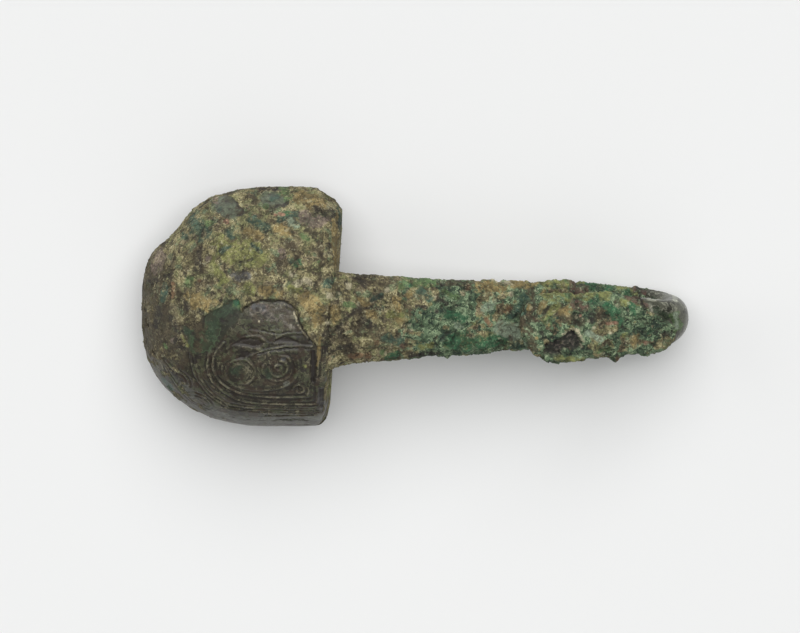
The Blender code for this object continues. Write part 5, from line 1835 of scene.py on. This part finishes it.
@dataclass
class Casting:
    """The whole casting as it is seen: body with button, neck with hook, and their grains."""

    box: tuple[Vector, Vector]
    length: float = 72.4 * MM
    rim_z: float = 6.4 * MM
    button_from_tail: float = 13.0 * MM
    hook_aside: float = -0.2 * MM
    hollow_past: float = 2 * MM
    stain_seeds: tuple[int, int] = (40, 140)
    dome_steps: tuple[int, tuple[int, int], int] = (262, (176, 118), 14)
    hollow_steps: tuple[int, tuple[int, int]] = (60, (34, 34))
    hook_steps: tuple[int, int, int] = (248, 92, 132)
    hook_sides: int = 192
    body_grains: float = 2.0
    hook_grains: float = 3.8
    body_relief: dict[str, float] = field(default_factory=lambda: {
        "Lumps": 0.20, "Crumbs": 0.09, "Grit": 0.10, "Ledges": 0.12, "Veins": 0.07, "Nodules": 0.12,
    })
    hook_relief: dict[str, float] = field(default_factory=lambda: {
        "Lumps": 0.32, "Crumbs": 0.22, "Grit": 0.13, "Ledges": 0.16, "Veins": 0.16,
    })

    def build(self) -> list[Thing]:
        """Make every piece of the casting."""
        tip_x = self.box[1].x
        dome = Dome(tail_x=tip_x - self.length, rim_z=self.rim_z)
        groups = speckle_group(), fleck_group()
        solid = CorrodedBronze("corroded_bronze").material(*groups)
        loose = CorrodedBronze("crust_grains", loose=True).material(*groups)
        surface, grains = corroded_surface(), scattered_grains()

        stations, sides, wall_rings = self.dome_steps
        body = dome.shell(stations, sides, wall_rings)
        body.name = "casting_body"
        boolean(body, dome.hollow(*self.hollow_steps, past=self.hollow_past), "DIFFERENCE")
        button_x = self.button_from_tail
        top = dome.rim_z + float(dome.crown(np.array([button_x]))[0]) - dome.wall / 2
        boolean(body, Button((dome.tail_x + button_x, 0.0), top).mesh(), "UNION")
        zones = BodyZones(dome)
        stains = Stains()
        zones.store(body.data)
        stains.store(body.data, self.stain_seeds[0])
        press(body.data, zones.lumps)

        shoulder = float(dome.place(np.array([dome.length]), np.array([0.0]))[0, 0])
        form = Hook(tip_x, shoulder, dome.rim_z + dome.height, self.hook_aside)
        hook = form.mesh(self.hook_steps, self.hook_sides)
        hook.name = "casting_hook"
        hook_zones = HookZones()
        hook_zones.store(hook.data)
        stains.store(hook.data, self.stain_seeds[1])
        press(hook.data, hook_zones.lumps)

        threads, crack = Ornament(dome).wire(), zones.crack_wire()
        for piece, relief in ((body, self.body_relief), (hook, self.hook_relief)):
            values = {"Threads": threads, "Crack": crack, "Finish": solid, **relief}
            run_tree(piece, surface, values)
        pieces = [body, hook]
        for piece, name, count in ((body, "body_grains", self.body_grains),
                                   (hook, "hook_grains", self.hook_grains)):
            strewn = new_object(name, piece.data.copy())
            values = {"Grains each square millimetre": count, "Finish": loose, "Seed": len(pieces)}
            run_tree(strewn, grains, values)
            pieces.append(strewn)
        for helper in (threads, crack):
            bpy.data.objects.remove(helper, do_unlink=True)
        return pieces


# Floor, lights and camera


@dataclass(frozen=True)
class Lamp:
    """A wide distant light: its strength, its width and where it stands, in degrees."""

    name: str
    strength: float
    width: float
    azimuth: float
    elevation: float

    def towards(self) -> Vector:
        """Direction from the object to the light."""
        around, up = math.radians(self.azimuth), math.radians(self.elevation)
        return Vector((math.cos(around) * math.cos(up), math.sin(around) * math.cos(up), math.sin(up)))


@dataclass
class Studio:
    """A pale floor, soft light from the picture's top, and the camera."""

    tilt: float = 10.0
    roll: float = 2.0
    distance: float = 0.60
    metres_a_pixel: float = 0.00013187
    picture: tuple[int, int] = (800, 633)
    target: tuple[float, float, float] = (0.0, 0.0, 0.009)
    target_pixel: tuple[float, float] = (413.7, 314.5)
    sensor: float = 36.0
    floor_size: float = 3.0
    floor_tone: float = 0.81
    ambient: float = 0.12
    ambient_colour: Colour = (0.94, 1.0, 0.96)
    lamps: tuple[Lamp, ...] = (
        Lamp("main light", 2.95, 70.0, 84.0, 60.0),
        Lamp("left light", 0.75, 50.0, 163.0, 18.0),
        Lamp("fill light", 0.45, 70.0, 285.0, 38.0),
    )

    def axes(self) -> tuple[Vector, Vector, Vector]:
        """Directions of the picture's right, of its top, and towards the camera."""
        tilt, roll = math.radians(self.tilt), math.radians(self.roll)
        back = Vector((0.0, math.sin(tilt), math.cos(tilt)))
        right = Vector((1.0, 0.0, 0.0))
        top = back.cross(right)
        across = right * math.cos(roll) + top * math.sin(roll)
        return across, back.cross(across), back

    def camera(self) -> None:
        """Set up the camera as the photograph was taken."""
        across, top, back = self.axes()
        right_by = self.target_pixel[0] - self.picture[0] / 2
        up_by = self.picture[1] / 2 - self.target_pixel[1]
        aim = Vector(self.target) - (across * right_by + top * up_by) * self.metres_a_pixel
        data = bpy.data.cameras.new("camera")
        data.sensor_width = self.sensor
        data.lens = self.sensor * self.distance / (self.picture[0] * self.metres_a_pixel)
        data.clip_start = 0.01
        thing = bpy.data.objects.new("camera", data)
        turn = Matrix((across, top, back)).transposed().to_4x4()
        thing.matrix_world = Matrix.Translation(aim + back * self.distance) @ turn
        bpy.context.scene.collection.objects.link(thing)
        bpy.context.scene.camera = thing

    def light(self) -> None:
        """Set up the even light and the wide lamps."""
        world = bpy.data.worlds.new("studio")
        world.use_nodes = True
        world.node_tree.nodes["Background"].inputs["Color"].default_value = opaque(self.ambient_colour)
        world.node_tree.nodes["Background"].inputs["Strength"].default_value = self.ambient
        bpy.context.scene.world = world
        for lamp in self.lamps:
            data = bpy.data.lights.new(lamp.name, "SUN")
            data.energy = lamp.strength
            data.angle = math.radians(lamp.width)
            thing = bpy.data.objects.new(lamp.name, data)
            thing.matrix_world = lamp.towards().to_track_quat("Z", "Y").to_matrix().to_4x4()
            bpy.context.scene.collection.objects.link(thing)

    def floor(self) -> Thing:
        """Lay the plain pale floor."""
        half = self.floor_size / 2
        mesh = bpy.data.meshes.new("floor")
        corners = [(-half, -half, 0.0), (half, -half, 0.0), (half, half, 0.0), (-half, half, 0.0)]
        mesh.from_pydata(corners, [], [(0, 1, 2, 3)])
        paper = bpy.data.materials.new("pale_paper")
        paper.use_nodes = True
        shader = paper.node_tree.nodes["Principled BSDF"]
        shader.inputs["Base Color"].default_value = (self.floor_tone,) * 3 + (1.0,)
        shader.inputs["Roughness"].default_value = 0.9
        shader.inputs["Specular IOR Level"].default_value = 0.1
        mesh.materials.append(paper)
        return new_object("floor", mesh)


def main() -> None:
    """Build the hook and the scene round it."""
    logging.basicConfig(level=logging.INFO, format="%(message)s")
    bpy.context.scene.view_settings.view_transform = "Standard"
    studio = Studio()
    studio.camera()
    studio.light()
    for piece in Casting(CAD_BOX).build():
        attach(piece, BODY_NAME)
        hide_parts(NODE)
        triangles = sum(len(face.vertices) - 2 for face in piece.data.polygons)
        LOG.info("%s: %d triangles", piece.name, triangles)
    studio.floor()
    LOG.info("boxes written")


if __name__ == "__main__":
    main()
